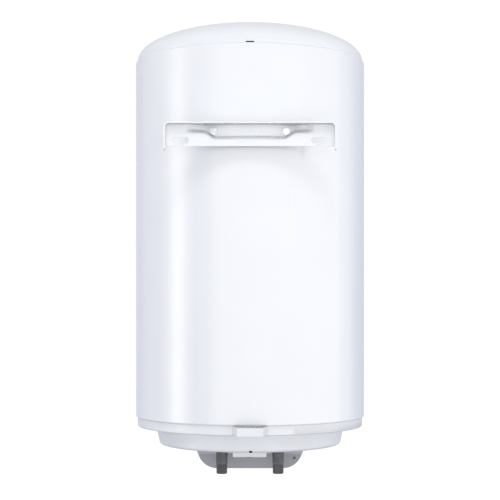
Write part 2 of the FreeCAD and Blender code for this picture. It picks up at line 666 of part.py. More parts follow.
parts["wall_bracket"] = wall_bracket()
bolt = bracket_bolt()
washer = along_y(WASHER_R, FLOOR_R, FLOOR_R + WASHER_T, BOLT_HEIGHT).cut(
    along_y(STUD_R, FLOOR_R - 1, FLOOR_R + 5, BOLT_HEIGHT))
boss_end = math.sqrt((FLOOR_R - PLATE_T) ** 2 - SOCKET_R ** 2) - 0.05
boss = along_y(SOCKET_R, TANK_R - 4, boss_end, BOLT_HEIGHT).cut(
    along_y(STUD_R, TANK_R + 3, boss_end + 5, BOLT_HEIGHT)).cut(cyl(TANK_R, SLOT_LINE - 60, SLOT_LINE + 60))
parts["bracket_bolts"] = Part.makeCompound([radial(bolt, a) for a in BOLT_SIDES])
parts["bracket_washers"] = Part.makeCompound([radial(washer, a) for a in BOLT_SIDES])
parts["bracket_bosses"] = Part.makeCompound([radial(boss, a) for a in BOLT_SIDES])
boss_rooms = [radial(along_y(SOCKET_R + LIP_GAP, TANK_R - 5, JACKET_R + 5, BOLT_HEIGHT), a) for a in BOLT_SIDES]
parts["outer_jacket"] = without(parts["outer_jacket"], boss_rooms)

# ---------------------------------------------------------------- tank and its pipes
LOW_APEX = TANK_LOW - HEAD_LOW_RISE


def head(z, rise, up):
    """Elliptical end of the tank."""
    r_in = TANK_R - HEAD_T
    outside, pole = dome(TANK_R, rise, z, up)
    inside, under = dome(r_in, rise - HEAD_T, z, up)
    return revolved(outside + inside + [line((0, pole), (0, under)), line((r_in, z), (TANK_R, z))])


def nipple(x):
    """Pipe stub with a plain cylinder at the thread's crest radius and a chamfered end."""
    shank = cyl(PIPE_R, PIPE_END + THREAD_L, PIPE_TOP, x, PIPE_Y)
    thread = cyl(THREAD_R, PIPE_END, PIPE_END + THREAD_L, x, PIPE_Y)
    thread = thread.makeChamfer(1.0, [e for e in thread.Edges if e.BoundBox.ZMax < PIPE_END + 0.1])
    return fused([shank, thread]).cut(cyl(PIPE_BORE_R, PIPE_END - 5, PIPE_TOP + 5, x, PIPE_Y))


parts["tank_shell"] = ring(TANK_R, TANK_R - TANK_T, TANK_LOW, TANK_HIGH)
parts["tank_top_head"] = head(TANK_HIGH, HEAD_HIGH_RISE, True)
head_holes = [cyl(PIPE_R, 0, 60, x, PIPE_Y) for x in PIPES.values()] + [cyl(NECK_R, 0, 60, 0, FLANGE_Y)]
parts["tank_bottom_head"] = without(head(TANK_LOW, HEAD_LOW_RISE, False), head_holes)
for name, pipe_x in PIPES.items():
    parts[name] = nipple(pipe_x)

DIP_R = PIPE_BORE_R - 0.1
DIP_TOP = TANK_HIGH + ellipse_z(TANK_R, HEAD_HIGH_RISE, math.hypot(PIPE_SPACING / 2, PIPE_Y)) - 18
hot_x = PIPES["hot_outlet_nipple"]
cold_x = PIPES["cold_inlet_nipple"]
parts["hot_dip_tube"] = ring(DIP_R, DIP_R - 0.8, PIPE_TOP - 25, DIP_TOP, hot_x, PIPE_Y)


def inlet_diffuser():
    """Spreader on the cold inlet: a sleeve in the nipple, windows above it and a cap."""
    sleeve = cyl(DIP_R, PIPE_TOP - 20, PIPE_TOP + 24, cold_x, PIPE_Y)
    dish = cyl(PIPE_R + 8, PIPE_TOP + 22, PIPE_TOP + 26, cold_x, PIPE_Y)
    whole = fused([sleeve, dish]).cut(cyl(DIP_R - 1.2, PIPE_TOP - 30, PIPE_TOP + 21, cold_x, PIPE_Y))
    windows = [box(cold_x - 20, cold_x + 20, PIPE_Y - 3, PIPE_Y + 3, PIPE_TOP + 4, PIPE_TOP + 18),
               box(cold_x - 3, cold_x + 3, PIPE_Y - 20, PIPE_Y + 20, PIPE_TOP + 4, PIPE_TOP + 18)]
    return without(whole, windows)


parts["inlet_diffuser"] = inlet_diffuser()

# ---------------------------------------------------------------- heater flange and what it carries
STUDS = on_circle(STUD_COUNT, STUD_CIRCLE_R, 0.0, FLANGE_Y, 30.0)
neck = ring(NECK_R, NECK_R - NECK_T, RING_LOW, LOW_APEX + 9, 0, FLANGE_Y)
neck_ring = ring(FLANGE_R, NECK_R - NECK_T, RING_LOW, RING_TOP, 0, FLANGE_Y)
parts["flange_neck"] = fused([neck, neck_ring])
STUD_END = FLANGE_LOW - NUT_H - 4
parts["flange_studs"] = Part.makeCompound([cyl(STUD_R, STUD_END, RING_LOW, x, y) for x, y in STUDS])
stud_rooms = [cyl(STUD_R + 0.3, STUD_END, RING_TOP, x, y) for x, y in STUDS]
parts["flange_gasket"] = without(ring(FLANGE_R, NECK_R - NECK_T, GASKET_LOW, RING_LOW, 0, FLANGE_Y), stud_rooms)
parts["flange_nuts"] = Part.makeCompound(
    [hexagon(NUT_AF, FLANGE_LOW - NUT_H, FLANGE_LOW, x, y).cut(cyl(STUD_R, FLANGE_LOW - 10, FLANGE_LOW + 1, x, y))
     for x, y in STUDS])

LEG_Y = FLANGE_Y + ELEMENT_DY
LEGS = [(-ELEMENT_X, LEG_Y), (ELEMENT_X, LEG_Y)]
ANODE_Y = FLANGE_Y + ANODE_DY
EARTH_XY = (-30.0, FLANGE_Y + 14.0)


def heating_element():
    """Hairpin of sheathed heater tube."""
    bend_z = ELEMENT_TOP - ELEMENT_X
    path = Part.Wire([
        Part.LineSegment(V(-ELEMENT_X, LEG_Y, FLANGE_LOW - 3), V(-ELEMENT_X, LEG_Y, bend_z)).toShape(),
        Part.Arc(V(-ELEMENT_X, LEG_Y, bend_z), V(0, LEG_Y, ELEMENT_TOP), V(ELEMENT_X, LEG_Y, bend_z)).toShape(),
        Part.LineSegment(V(ELEMENT_X, LEG_Y, bend_z), V(ELEMENT_X, LEG_Y, FLANGE_LOW - 3)).toShape(),
    ])
    section = Part.Wire(Part.makeCircle(ELEMENT_R, V(-ELEMENT_X, LEG_Y, FLANGE_LOW - 3), V(0, 0, 1)))
    return path.makePipeShell([section], True, True)


flange_plate = cyl(FLANGE_R, FLANGE_LOW, GASKET_LOW, 0, FLANGE_Y)
flange_holes = stud_rooms + [cyl(ELEMENT_R, FLANGE_LOW - 5, GASKET_LOW + 5, x, y) for x, y in LEGS]
flange_holes.append(cyl(POCKET_R, FLANGE_LOW - 5, GASKET_LOW + 5, 0, FLANGE_Y))
flange_holes.append(cyl(STUD_R, FLANGE_LOW - 5, GASKET_LOW + 5, 0, ANODE_Y))
parts["heater_flange"] = without(flange_plate, flange_holes)
parts["heating_element"] = heating_element()
TERMINAL_PIN_R = 2.0
parts["element_terminals"] = Part.makeCompound(
    [cyl(TERMINAL_PIN_R, STAT_TOP, FLANGE_LOW - 3, x, y) for x, y in LEGS])
pocket_tube = cyl(POCKET_R, FLANGE_LOW, POCKET_TOP, 0, FLANGE_Y)
parts["thermostat_pocket"] = pocket_tube.cut(cyl(POCKET_R - 0.8, FLANGE_LOW - 1, POCKET_TOP - 1, 0, FLANGE_Y))
anode_rod = cyl(ANODE_R, GASKET_LOW + 16, GASKET_LOW + 16 + ANODE_L, 0, ANODE_Y)
anode_rod = anode_rod.makeFillet(3.0, [e for e in anode_rod.Edges if len(e.Vertexes) == 1])
parts["magnesium_anode"] = fused([anode_rod, cyl(STUD_R, FLANGE_LOW - 10, GASKET_LOW + 20, 0, ANODE_Y)])
parts["anode_nut"] = hexagon(NUT_AF, FLANGE_LOW - NUT_H, FLANGE_LOW, 0, ANODE_Y).cut(
    cyl(STUD_R, FLANGE_LOW - 10, FLANGE_LOW + 1, 0, ANODE_Y))
earth_x, earth_y = EARTH_XY
parts["earth_screw"] = fused([cyl(2.0, FLANGE_LOW - 6, FLANGE_LOW, earth_x, earth_y),
                              cyl(4.0, FLANGE_LOW - 9, FLANGE_LOW - 6, earth_x, earth_y)])

# ---------------------------------------------------------------- thermostat, spindle and reset button
ROD_R = 3.5
SPINDLE_IN = 10.0
RESET_Y = FLANGE_Y - 12.0
RESET_STROKE = 1.5
RESET_BLIND = 9.0


def thermostat_body():
    """Plug-in thermostat: round case, spindle boss underneath and a guided reset button."""
    case = cyl(STAT_R, STAT_LOW, STAT_TOP, 0, FLANGE_Y)
    case = case.makeFillet(1.5, [e for e in case.Edges if len(e.Vertexes) == 1])
    bush = cyl(SPINDLE_R + 3, STAT_LOW - 4, STAT_LOW + 2, 0, FLANGE_Y)
    guide = cyl(RESET_R + 2, STAT_LOW - 1, STAT_LOW + 2, RESET_X, RESET_Y)
    cuts = [cyl(SPINDLE_R + RUN_GAP, STAT_LOW - 10, STAT_LOW + SPINDLE_IN, 0, FLANGE_Y),
            cyl(RESET_R + RUN_GAP, STAT_LOW - 10, STAT_LOW + RESET_BLIND, RESET_X, RESET_Y)]
    return without(fused([case, bush, guide]), cuts)


parts["thermostat_body"] = thermostat_body()
parts["thermostat_rod"] = cyl(ROD_R, STAT_TOP, POCKET_TOP - 15, 0, FLANGE_Y)
parts["thermostat_spindle"] = cyl(SPINDLE_R, KNOB_LOW + 6, STAT_LOW + SPINDLE_IN - FREE_GAP, 0, FLANGE_Y)
reset_top = STAT_LOW + RESET_BLIND - RESET_STROKE - FREE_GAP
button = cyl(RESET_R, STAT_LOW - 1 - RESET_OUT, reset_top, RESET_X, RESET_Y)
parts["reset_button"] = button.makeFillet(0.8, [e for e in button.Edges if e.BoundBox.ZMax < STAT_LOW - RESET_OUT])

# ---------------------------------------------------------------- wiring
BLOCK_TOP = -RIM_H
BLOCK_LOW = BLOCK_TOP - TERMINAL_H
POLES = (-14.0, 0.0, 14.0)
block = box(-TERMINAL_W / 2, TERMINAL_W / 2, TERMINAL_Y - TERMINAL_D / 2, TERMINAL_Y + TERMINAL_D / 2,
            BLOCK_LOW, BLOCK_TOP)
block_cuts = [cyl(2.6, BLOCK_LOW - 1, BLOCK_LOW + 5, x, TERMINAL_Y - 5) for x in POLES]
lead_z = BLOCK_LOW + TERMINAL_H / 2
block_cuts += [Part.makeCylinder(LEAD_R + 0.2, 8, V(x, TERMINAL_Y - TERMINAL_D / 2 - 1, lead_z), V(0, 1, 0))
               for x in POLES]
parts["terminal_block"] = without(block, block_cuts)
parts["terminal_screws"] = Part.makeCompound(
    [cyl(2.4, BLOCK_LOW + 1, BLOCK_LOW + 5, x, TERMINAL_Y - 5) for x in POLES])

block_face = TERMINAL_Y - TERMINAL_D / 2 + 4
lead_low = STAT_TOP - 9
parts["lead_phase"] = bent_lead([(POLES[0], block_face, lead_z), (POLES[0], 62, lead_z), (POLES[0] + 3, 30, lead_low),
                                 (POLES[0] + 3, FLANGE_Y + 25.8, lead_low)], 12.0)
parts["lead_neutral"] = bent_lead([(POLES[2], block_face, lead_z), (POLES[2], 62, lead_z),
                                   (POLES[2] - 3, 30, lead_low), (POLES[2] - 3, FLANGE_Y + 25.8, lead_low)], 12.0)
earth_z = FLANGE_LOW - 4.6
parts["lead_earth"] = bent_lead([(POLES[1], block_face, lead_z), (POLES[1], 96, lead_z), (-32, 70, earth_z),
                                 (-32, 20, earth_z), (earth_x - 1.5, earth_y + 3.4, earth_z)], 9.0)
lamp_back = V(0, LAMP_Y, LAMP_Z) + LAMP_DIR * -20.0
lamp_leads = []
for side in (-1, 1):
    start = (side * 8.0, FLANGE_Y - STAT_R + 3.0, STAT_LOW + 8)
    knee = (side * 8.0, FLANGE_Y - STAT_R - 16, STAT_LOW + 8)
    before = lamp_back - LAMP_DIR * 9.6
    turn = (side * 2.2, before.y, before.z)
    lamp_leads.append(bent_lead([start, knee, turn, (side * 2.2, lamp_back.y, lamp_back.z)], 6.0, 1.0))
parts["lamp_leads"] = Part.makeCompound(lamp_leads)
lead_rooms = [parts["lead_phase"], parts["lead_neutral"]] + lamp_leads
parts["thermostat_body"] = without(parts["thermostat_body"], lead_rooms)

# ---------------------------------------------------------------- foam
def foam():
    """Insulation that fills the space between tank and casing, open below the flange."""
    r_low = END_R - MOULD_T
    collar_out = COLLAR_R + MOULD_T
    under_head = TANK_LOW - ellipse_z(TANK_R, HEAD_LOW_RISE, collar_out)
    upper, top = dome(r_low, CAP_RISE - MOULD_T, CAP_BASE, True)
    lower, tank_top = dome(TANK_R, HEAD_HIGH_RISE, TANK_HIGH, True)
    edges = polyline([(collar_out, under_head), (collar_out, RIM_FLOOR), (r_low, RIM_FLOOR), (r_low, SPIGOT),
                      (JACKET_IN, SPIGOT), (JACKET_IN, JACKET_H - SPIGOT), (r_low, JACKET_H - SPIGOT),
                      (r_low, CAP_BASE)])
    edges += upper + lower + [line((0, top), (0, tank_top)), line((TANK_R, TANK_HIGH), (TANK_R, TANK_LOW))]
    edges.append(ellipse_arc(TANK_R, HEAD_LOW_RISE, TANK_LOW, False, collar_out))
    return revolved(edges)


parts["foam_insulation"] = without(foam(), boss_rooms)

# ---------------------------------------------------------------- export
os.makedirs("parts", exist_ok=True)
to_frame = V(0, -PLATE_Y, -SLOT_LINE)
for node, shape in parts.items():
    moved = shape.copy()
    moved.translate(to_frame)
    moved.exportStep(f"parts/{node}.step")
print(f"{len(parts)} sub-parts written")
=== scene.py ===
import json
import math

import bmesh
import bpy
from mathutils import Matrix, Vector, geometry, kdtree


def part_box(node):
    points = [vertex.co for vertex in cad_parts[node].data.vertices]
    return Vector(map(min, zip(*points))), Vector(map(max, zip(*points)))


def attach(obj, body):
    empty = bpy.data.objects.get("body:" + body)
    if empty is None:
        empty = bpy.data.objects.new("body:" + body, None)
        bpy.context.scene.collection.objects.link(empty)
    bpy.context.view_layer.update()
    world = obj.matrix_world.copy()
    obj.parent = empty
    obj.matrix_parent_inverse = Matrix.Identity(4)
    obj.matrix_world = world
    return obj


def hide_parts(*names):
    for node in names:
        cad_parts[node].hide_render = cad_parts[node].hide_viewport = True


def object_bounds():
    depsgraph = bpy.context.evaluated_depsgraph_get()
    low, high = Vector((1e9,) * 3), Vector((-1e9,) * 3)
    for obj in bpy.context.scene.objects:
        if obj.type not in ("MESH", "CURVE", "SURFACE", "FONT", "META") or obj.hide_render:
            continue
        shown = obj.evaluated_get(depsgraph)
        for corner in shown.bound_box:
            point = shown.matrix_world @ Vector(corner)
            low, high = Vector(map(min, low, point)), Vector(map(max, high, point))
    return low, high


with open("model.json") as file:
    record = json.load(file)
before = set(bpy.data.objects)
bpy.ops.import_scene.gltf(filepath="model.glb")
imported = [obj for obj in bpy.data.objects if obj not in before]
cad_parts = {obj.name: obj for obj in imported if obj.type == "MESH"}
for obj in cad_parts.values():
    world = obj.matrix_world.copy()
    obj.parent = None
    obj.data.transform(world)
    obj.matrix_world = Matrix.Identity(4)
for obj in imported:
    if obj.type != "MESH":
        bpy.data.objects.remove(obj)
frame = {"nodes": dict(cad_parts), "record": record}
cad_low, cad_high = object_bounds()

# Shapes are drawn in millimetres round the tank's axis, z = 0 at the jacket's lower edge, +Y to the wall.
MM = 0.001
jacket_low, jacket_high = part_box("outer_jacket")
AXIS_Y = (jacket_low.y + jacket_high.y) / 2
EDGE_Z = jacket_low.z
JACKET_R = (jacket_high.x - jacket_low.x) / 2 / MM


def at(x, y, z):
    """Place in the row frame, in metres, of a point drawn in millimetres."""
    return Vector((x * MM, AXIS_Y + y * MM, EDGE_Z + z * MM))


def drawn(point):
    """The drawing's millimetres of a point in the row frame."""
    return Vector((point.x / MM, (point.y - AXIS_Y) / MM, (point.z - EDGE_Z) / MM))


def node_box(node):
    low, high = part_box(node)
    return drawn(low), drawn(high)


# ---------------------------------------------------------------- materials
WHITE = (1.0, 1.0, 1.0)
WHITE_STEEL = (0.745, 0.75, 0.764)
WHITE_CAP = (0.735, 0.742, 0.758)
WHITE_MOULDED = (0.735, 0.74, 0.76)
WHITE_BRACKET = (0.78, 0.787, 0.80)
GREY = (0.33, 0.325, 0.35)

THREAD_L = 20.0                 # of the pipe stubs, in millimetres
BAND_DROP = 17.2                # from the housing's top to its moulded step, in millimetres
# Where a finish, or the light and shade painted on it, changes, in metres of the row frame.
THREAD_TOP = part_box("cold_inlet_nipple")[0].z + THREAD_L * MM
# between these heights the painted light on the pipe stubs' thread fades out
THREAD_LIGHT_FADE = (THREAD_TOP - 0.003, THREAD_TOP + 0.001)
BAND_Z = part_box("control_housing")[1].z - BAND_DROP * MM
BAND = (BAND_Z - 0.0002, BAND_Z + 0.0002)
BAND_TINTS = ((0.0, WHITE), (1.0, (1.35, 1.35, 1.35)))
HOLLOW_Y = (-0.009, -0.001)     # the bracket's hollow, and its flat strip: painted light whitens the hollow
TOP_FLANGE_Z = (0.02, 0.021)    # below the bracket's top flange, and at it: from there up, undersides get painted shade
FACING_DOWN = (-0.95, -0.6)     # Z of a normal that points down, and of one that no longer does: full painted shade, and none


def colour_ramp(tree, value, stops):
    """Colours along value, from (place, colour) pairs."""
    ramp = tree.nodes.new("ShaderNodeValToRGB")
    elements = ramp.color_ramp.elements
    for element, (place, colour) in ((elements[0], stops[0]), (elements[1], stops[-1])):
        element.position = place
        element.color = (*colour, 1.0)
    for place, colour in stops[1:-1]:
        elements.new(place).color = (*colour, 1.0)
    tree.links.new(value, ramp.inputs["Fac"])
    return ramp.outputs["Color"]


class Finish:
    """A material with its shader, and short calls for the few nodes that every finish uses."""

    def __init__(self, name, **sockets):
        self.material = bpy.data.materials.new(name)
        self.material.use_nodes = True
        self.tree = self.material.node_tree
        self.shader = self.tree.nodes["Principled BSDF"]
        self.place = self.node("ShaderNodeTexCoord").outputs["Object"]
        for socket, value in sockets.items():
            self.shader.inputs[socket.replace("_", " ").title().replace("Ior", "IOR")].default_value = value

    def node(self, kind):
        return self.tree.nodes.new(kind)

    def link(self, source, target):
        self.tree.links.new(source, target)

    def scaled(self, size, stretch=(1.0, 1.0, 1.0)):
        """The piece's own coordinates counted in steps of size metres, times stretch along each axis."""
        mapping = self.node("ShaderNodeMapping")
        mapping.inputs["Scale"].default_value = [1.0 / size / s for s in stretch]
        self.link(self.place, mapping.inputs["Vector"])
        return mapping.outputs["Vector"]

    def noise(self, size, detail=2.0, stretch=(1.0, 1.0, 1.0)):
        """Noise with features about size metres across, longer along an axis whose stretch is above 1."""
        noise = self.node("ShaderNodeTexNoise")
        noise.inputs["Scale"].default_value = 1.0
        noise.inputs["Detail"].default_value = detail
        self.link(self.scaled(size, stretch), noise.inputs["Vector"])
        return noise.outputs["Fac"]

    def cells(self, size, smooth=0.0):
        """Distance to the nearest of points that lie about size metres apart."""
        cells = self.node("ShaderNodeTexVoronoi")
        cells.inputs["Scale"].default_value = 1.0
        if smooth:
            cells.feature = "SMOOTH_F1"
            cells.inputs["Smoothness"].default_value = smooth
        self.link(self.scaled(size), cells.inputs["Vector"])
        return cells.outputs["Distance"]

    def spread(self, value, low, high, start=0.3, end=0.7):
        """value, stretched from start..end to low..high."""
        ranged = self.node("ShaderNodeMapRange")
        for socket, number in (("From Min", start), ("From Max", end), ("To Min", low), ("To Max", high)):
            ranged.inputs[socket].default_value = number
        self.link(value, ranged.inputs["Value"])
        return ranged.outputs["Result"]

    def along(self, vector, axis, start, end):
        """0 to 1 as one axis of a vector goes from start to end."""
        split = self.node("ShaderNodeSeparateXYZ")
        self.link(vector, split.inputs[0])
        return self.spread(split.outputs[axis], 0.0, 1.0, start, end)

    def height(self, low, high):
        """0 to 1 between two heights, in metres, of a piece that is drawn in place."""
        return self.along(self.place, "Z", low, high)

    def tints(self, value, *stops):
        """Colours along value, as (place, colour) pairs."""
        return colour_ramp(self.tree, value, stops)

    def times(self, first, second, share=None):
        """Two colours multiplied, by a share that may vary."""
        mix = self.node("ShaderNodeMix")
        mix.data_type = "RGBA"
        mix.blend_type = "MULTIPLY"
        mix.inputs["Factor"].default_value = 1.0
        if share:
            self.link(share, mix.inputs["Factor"])
        self.link(first, mix.inputs["A"])
        self.link(second, mix.inputs["B"])
        return mix.outputs["Result"]

    def colour(self, value):
        self.link(value, self.shader.inputs["Base Color"])

    def rough(self, value):
        self.link(value, self.shader.inputs["Roughness"])

    def bumps(self, *layers):
        """Relief from (height, depth in metres) layers, one on top of the other."""
        normal = None
        for height, depth in layers:
            bump = self.node("ShaderNodeBump")
            bump.inputs["Distance"].default_value = depth
            self.link(height, bump.inputs["Height"])
            if normal is not None:
                self.link(normal, bump.inputs["Normal"])
            normal = bump.outputs["Normal"]
        self.link(normal, self.shader.inputs["Normal"])


def shades(colour, amount):
    """A darker and a lighter version of a colour."""
    return tuple(c * (1 - amount) for c in colour), tuple(min(1.0, c * (1 + amount)) for c in colour)


def enamel(name, colour, rough, peel=0.000004, coat=1.0, vary=0.03):
    """Baked white enamel on steel: faint clouding, orange peel and a thin clear gloss."""
    f = Finish(name, coat_weight=coat, coat_roughness=0.06, ior=1.5)
    dark, light = shades(colour, 0.006)
    cloud = f.tints(f.noise(0.09, 3.0), (0.35, dark), (0.65, light))
    fleck = f.tints(f.noise(0.0006, 1.0), (0.3, (0.985, 0.985, 0.985)), (0.45, WHITE))
    f.colour(f.times(cloud, fleck))
    f.rough(f.spread(f.noise(0.03, 2.0), rough - vary, rough + vary))
    f.bumps((f.noise(0.0022, 2.0), peel), (f.noise(0.05, 1.0), peel * 6))
    return f.material


def pressed_enamel(name, colour, rough):
    """Enamel on pressed steel, with painted light that whitens the hollow and painted shade that greys
    undersides at the top flange.
    """
    f = Finish(name, coat_weight=0.6, coat_roughness=0.08, ior=1.5)
    dark, light = shades(colour, 0.006)
    cloud = f.tints(f.noise(0.06, 3.0), (0.35, dark), (0.65, light))
    # painted light: the hollow is made whiter the deeper it lies, to lift its shade
    painted_hollow_light = f.tints(f.along(f.place, "Y", *HOLLOW_Y), (0.0, (1.13, 1.13, 1.12)), (1.0, WHITE))
    normal = f.node("ShaderNodeNewGeometry").outputs["Normal"]
    # painted shade: faces that point down, at the top flange's height, are greyed to half
    painted_underside_shade = f.tints(f.along(normal, "Z", *FACING_DOWN), (0.0, (0.5, 0.5, 0.51)), (1.0, WHITE))
    f.colour(f.times(f.times(cloud, painted_hollow_light), painted_underside_shade, f.height(*TOP_FLANGE_Z)))
    f.rough(f.spread(f.noise(0.03, 4.0), rough - 0.03, rough + 0.04))
    f.bumps((f.noise(0.0022, 2.0), 0.000006), (f.noise(0.04, 1.0), 0.00003))
    return f.material


def moulded(name, colour, rough, grain=0.0005, depth=0.00002, fade=None, **sockets):
    """Moulded plastic: spark-eroded grain, slight flow marks and patchy gloss; fade is (heights, tints)."""
    f = Finish(name, **sockets)
    dark, light = shades(colour, 0.02)
    flow = f.tints(f.noise(0.04, 3.0, (1.0, 1.0, 2.5)), (0.3, dark), (0.7, light))
    speck = f.tints(f.cells(grain), (0.0, (0.97, 0.97, 0.97)), (0.5, WHITE))
    shade = f.times(flow, speck)
    if fade:
        shade = f.times(shade, f.tints(f.height(*fade[0]), *fade[1]))
    f.colour(shade)
    f.rough(f.spread(f.noise(0.006, 3.0), rough - 0.04, rough + 0.05))
    f.bumps((f.cells(grain, 0.4), depth), (f.noise(0.03, 1.0), depth * 2))
    return f.material


def plated(name, colour, rough, streak=(1.0, 1.0, 1.0)):
    """Zinc-plated or bare metal: fine draw marks and cloudy gloss."""
    f = Finish(name, metallic=1.0)
    dark, light = shades(colour, 0.12)
    f.colour(f.tints(f.noise(0.004, 4.0, streak), (0.3, dark), (0.7, light)))
    f.rough(f.spread(f.noise(0.0015, 3.0, streak), rough - 0.08, rough + 0.12))
    f.bumps((f.noise(0.0004, 2.0, streak), 0.00001), (f.noise(0.006, 2.0), 0.00004))
    return f.material


def phosphated(name, colour):
    """Dark phosphate on pipe steel: matt crystals, lighter in rubbed patches, and painted light on the
    thread that lifts the shade in its grooves.
    """
    f = Finish(name, metallic=0.35, ior=1.5)
    dark, light = shades(colour, 0.22)
    crystal = f.tints(f.noise(0.0007, 3.0), (0.3, dark), (0.7, light))
    rubbed = f.tints(f.noise(0.012, 3.0), (0.45, WHITE), (0.75, (1.35, 1.33, 1.3)))
    # painted light: the thread is made twice as light, to lift the shade in its grooves
    painted_thread_light = f.tints(f.height(*THREAD_LIGHT_FADE), (0.0, (2.0, 1.98, 1.96)), (1.0, WHITE))
    f.colour(f.times(f.times(crystal, rubbed), painted_thread_light))
    f.rough(f.spread(f.noise(0.002, 3.0), 0.42, 0.62))
    f.bumps((f.noise(0.0005, 3.0), 0.00003))
    return f.material


def rubber(name, colour):
    """Matt rubber with a dusty bloom."""
    f = Finish(name, ior=1.48)
    dark, light = shades(colour, 0.2)
    bloom = tuple(c + 0.02 for c in light)
    f.colour(f.tints(f.noise(0.004, 4.0), (0.3, dark), (0.6, light), (0.8, bloom)))
    f.rough(f.spread(f.noise(0.002, 3.0), 0.55, 0.75))
    f.bumps((f.noise(0.0006, 2.0), 0.00003))
    return f.material


def foamed(name, colour):
    """Polyurethane foam: cells, skin folds and yellowed patches."""
    f = Finish(name, subsurface_weight=0.1)
    dark, light = shades(colour, 0.16)
    f.colour(f.tints(f.noise(0.03, 4.0), (0.3, dark), (0.7, light)))
    f.rough(f.spread(f.noise(0.01, 2.0), 0.8, 0.95))
    f.bumps((f.cells(0.0012), 0.0003), (f.noise(0.012, 3.0), 0.0012))
    return f.material


def lamp_lens(name, colour):
    """Clear coloured lens, ribbed inside."""
    f = Finish(name, transmission_weight=0.55, ior=1.49, coat_weight=0.4, coat_roughness=0.05)
    dark, light = shades(colour, 0.25)
    f.colour(f.tints(f.cells(0.0012), (0.1, dark), (0.7, light)))
    f.rough(f.spread(f.noise(0.002, 2.0), 0.08, 0.16))
    f.bumps((f.cells(0.0012), 0.0001))
    return f.material


BOLT_LOOK = plated("Bright zinc", (0.9, 0.9, 0.92), 0.42)
LOOKS = {
    "jacket_enamel": enamel("Baked white enamel", WHITE_STEEL, 0.2),
    "cap_white": enamel("Glossy white ABS", WHITE_CAP, 0.3, 0.000001, 0.7, 0.005),
    "moulded_white": moulded("Satin white ABS", WHITE_MOULDED, 0.34, 0.0006, 0.00001),
    "housing_grey": moulded("Grained grey plastic", GREY, 0.5, 0.0006, 0.00003, (BAND, BAND_TINTS)),
    "knob_white": moulded("Knob white plastic", (0.8, 0.8, 0.81), 0.35, 0.0006, 0.00001),
    "bracket_enamel": pressed_enamel("Enamel on pressed steel", WHITE_BRACKET, 0.28),
    "zinc_steel": plated("Zinc-plated steel", (0.62, 0.63, 0.66), 0.3),
    "pipe_dark": phosphated("Phosphated pipe steel", (0.092, 0.093, 0.095)),
    "tank_enamel": enamel("Blue tank enamel", (0.03, 0.06, 0.13), 0.25, 0.00004),
    "stainless": plated("Stainless steel", (0.55, 0.55, 0.54), 0.25, (1.0, 1.0, 12.0)),
    "element_copper": plated("Sheathed copper", (0.66, 0.36, 0.2), 0.3, (1.0, 1.0, 12.0)),
    "brass": plated("Turned brass", (0.72, 0.53, 0.24), 0.24),
    "magnesium": plated("Cast magnesium", (0.42, 0.42, 0.43), 0.55),
    "black_rubber": rubber("Black rubber", (0.02, 0.02, 0.021)),
    "foam": foamed("Polyurethane foam", (0.76, 0.62, 0.33)),
    "thermostat_black": moulded("Black phenolic", (0.025, 0.025, 0.026), 0.45, 0.0007),
    "nylon": moulded("Natural nylon", (0.74, 0.7, 0.6), 0.4, 0.0007, subsurface_weight=0.05),
    "reset_red": moulded("Red button plastic", (0.5, 0.03, 0.025), 0.3, 0.0005),
    "lamp_amber": lamp_lens("Amber lens", (0.9, 0.4, 0.06)),
    "insulation_brown": moulded("Brown lead insulation", (0.13, 0.05, 0.02), 0.35, 0.0005),
    "insulation_blue": moulded("Blue lead insulation", (0.03, 0.08, 0.36), 0.35, 0.0005),
    "insulation_earth": moulded("Green lead insulation", (0.12, 0.34, 0.05), 0.35, 0.0005),
    "insulation_black": moulded("Black lead insulation", (0.02, 0.02, 0.02), 0.35, 0.0005),
}

for row in frame["record"]["subparts"]:
    node = frame["nodes"][row["node"]]
    node.data.materials.clear()
    node.data.materials.append(LOOKS[row["material_slot"]])
frame["nodes"]["bracket_bolts"].data.materials[0] = BOLT_LOOK


# ---------------------------------------------------------------- mesh helpers
def piece(name, bm, body, slot, replaced=(), sharp=35.0, look=None):
    """Turns a bmesh drawn in millimetres into a piece that rides on a body."""
    for v in bm.verts:
        v.co = at(*v.co)
    bmesh.ops.recalc_face_normals(bm, faces=bm.faces)
    mesh = bpy.data.meshes.new(name)
    bm.to_mesh(mesh)
    bm.free()
    mesh.materials.append(look or LOOKS[slot])
    mesh.shade_smooth()
    mesh.set_sharp_from_angle(angle=math.radians(sharp))
    obj = bpy.data.objects.new(name, mesh)
    bpy.context.scene.collection.objects.link(obj)
    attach(obj, body)
    if replaced:
        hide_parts(*replaced)
    return obj


def bridge(bm, rows, closed):
    """Faces between rows of vertices; closed joins each row's end to its start."""
    for upper, lower in zip(rows, rows[1:]):
        count = len(upper)
        for i in range(count if closed else count - 1):
            j = (i + 1) % count
            corners = []
            for v in (upper[i], upper[j], lower[j], lower[i]):
                if v not in corners:
                    corners.append(v)
            if len(corners) > 2:
                bm.faces.new(corners)


def lathe(bm, profile, steps, centre=(0.0, 0.0), radius=None):
    """Closed surface of a closed (radius, z) profile turned about a vertical axis, which it may touch."""
    rows = []
    for r, z in profile:
        if r == 0:
            rows.append([bm.verts.new((centre[0], centre[1], z))] * steps)
            continue
        row = []
        for k in range(steps):
            a = 2 * math.pi * k / steps
            rr = radius(r, z, a) if radius else r
            row.append(bm.verts.new((centre[0] + rr * math.cos(a), centre[1] + rr * math.sin(a), z)))
        rows.append(row)
    bridge(bm, rows + [rows[0]], True)
    return rows


def fillet(centre, r, start_deg, end_deg, steps=6):
    """Points of an arc in a (radius, z) or (x, z) profile."""
    pts = []
    for k in range(steps + 1):
        a = math.radians(start_deg + (end_deg - start_deg) * k / steps)
        pts.append((centre[0] + r * math.cos(a), centre[1] + r * math.sin(a)))
    return pts


def smooth(t):
    """0 to 1, starting and ending level."""
    t = min(1.0, max(0.0, t))
    return t * t * (3 - 2 * t)


def corner(t):
    """How far a rounded corner of radius 1 falls away at t from its start."""
    return 1 - math.sqrt(max(0.0, 1 - t ** 2))


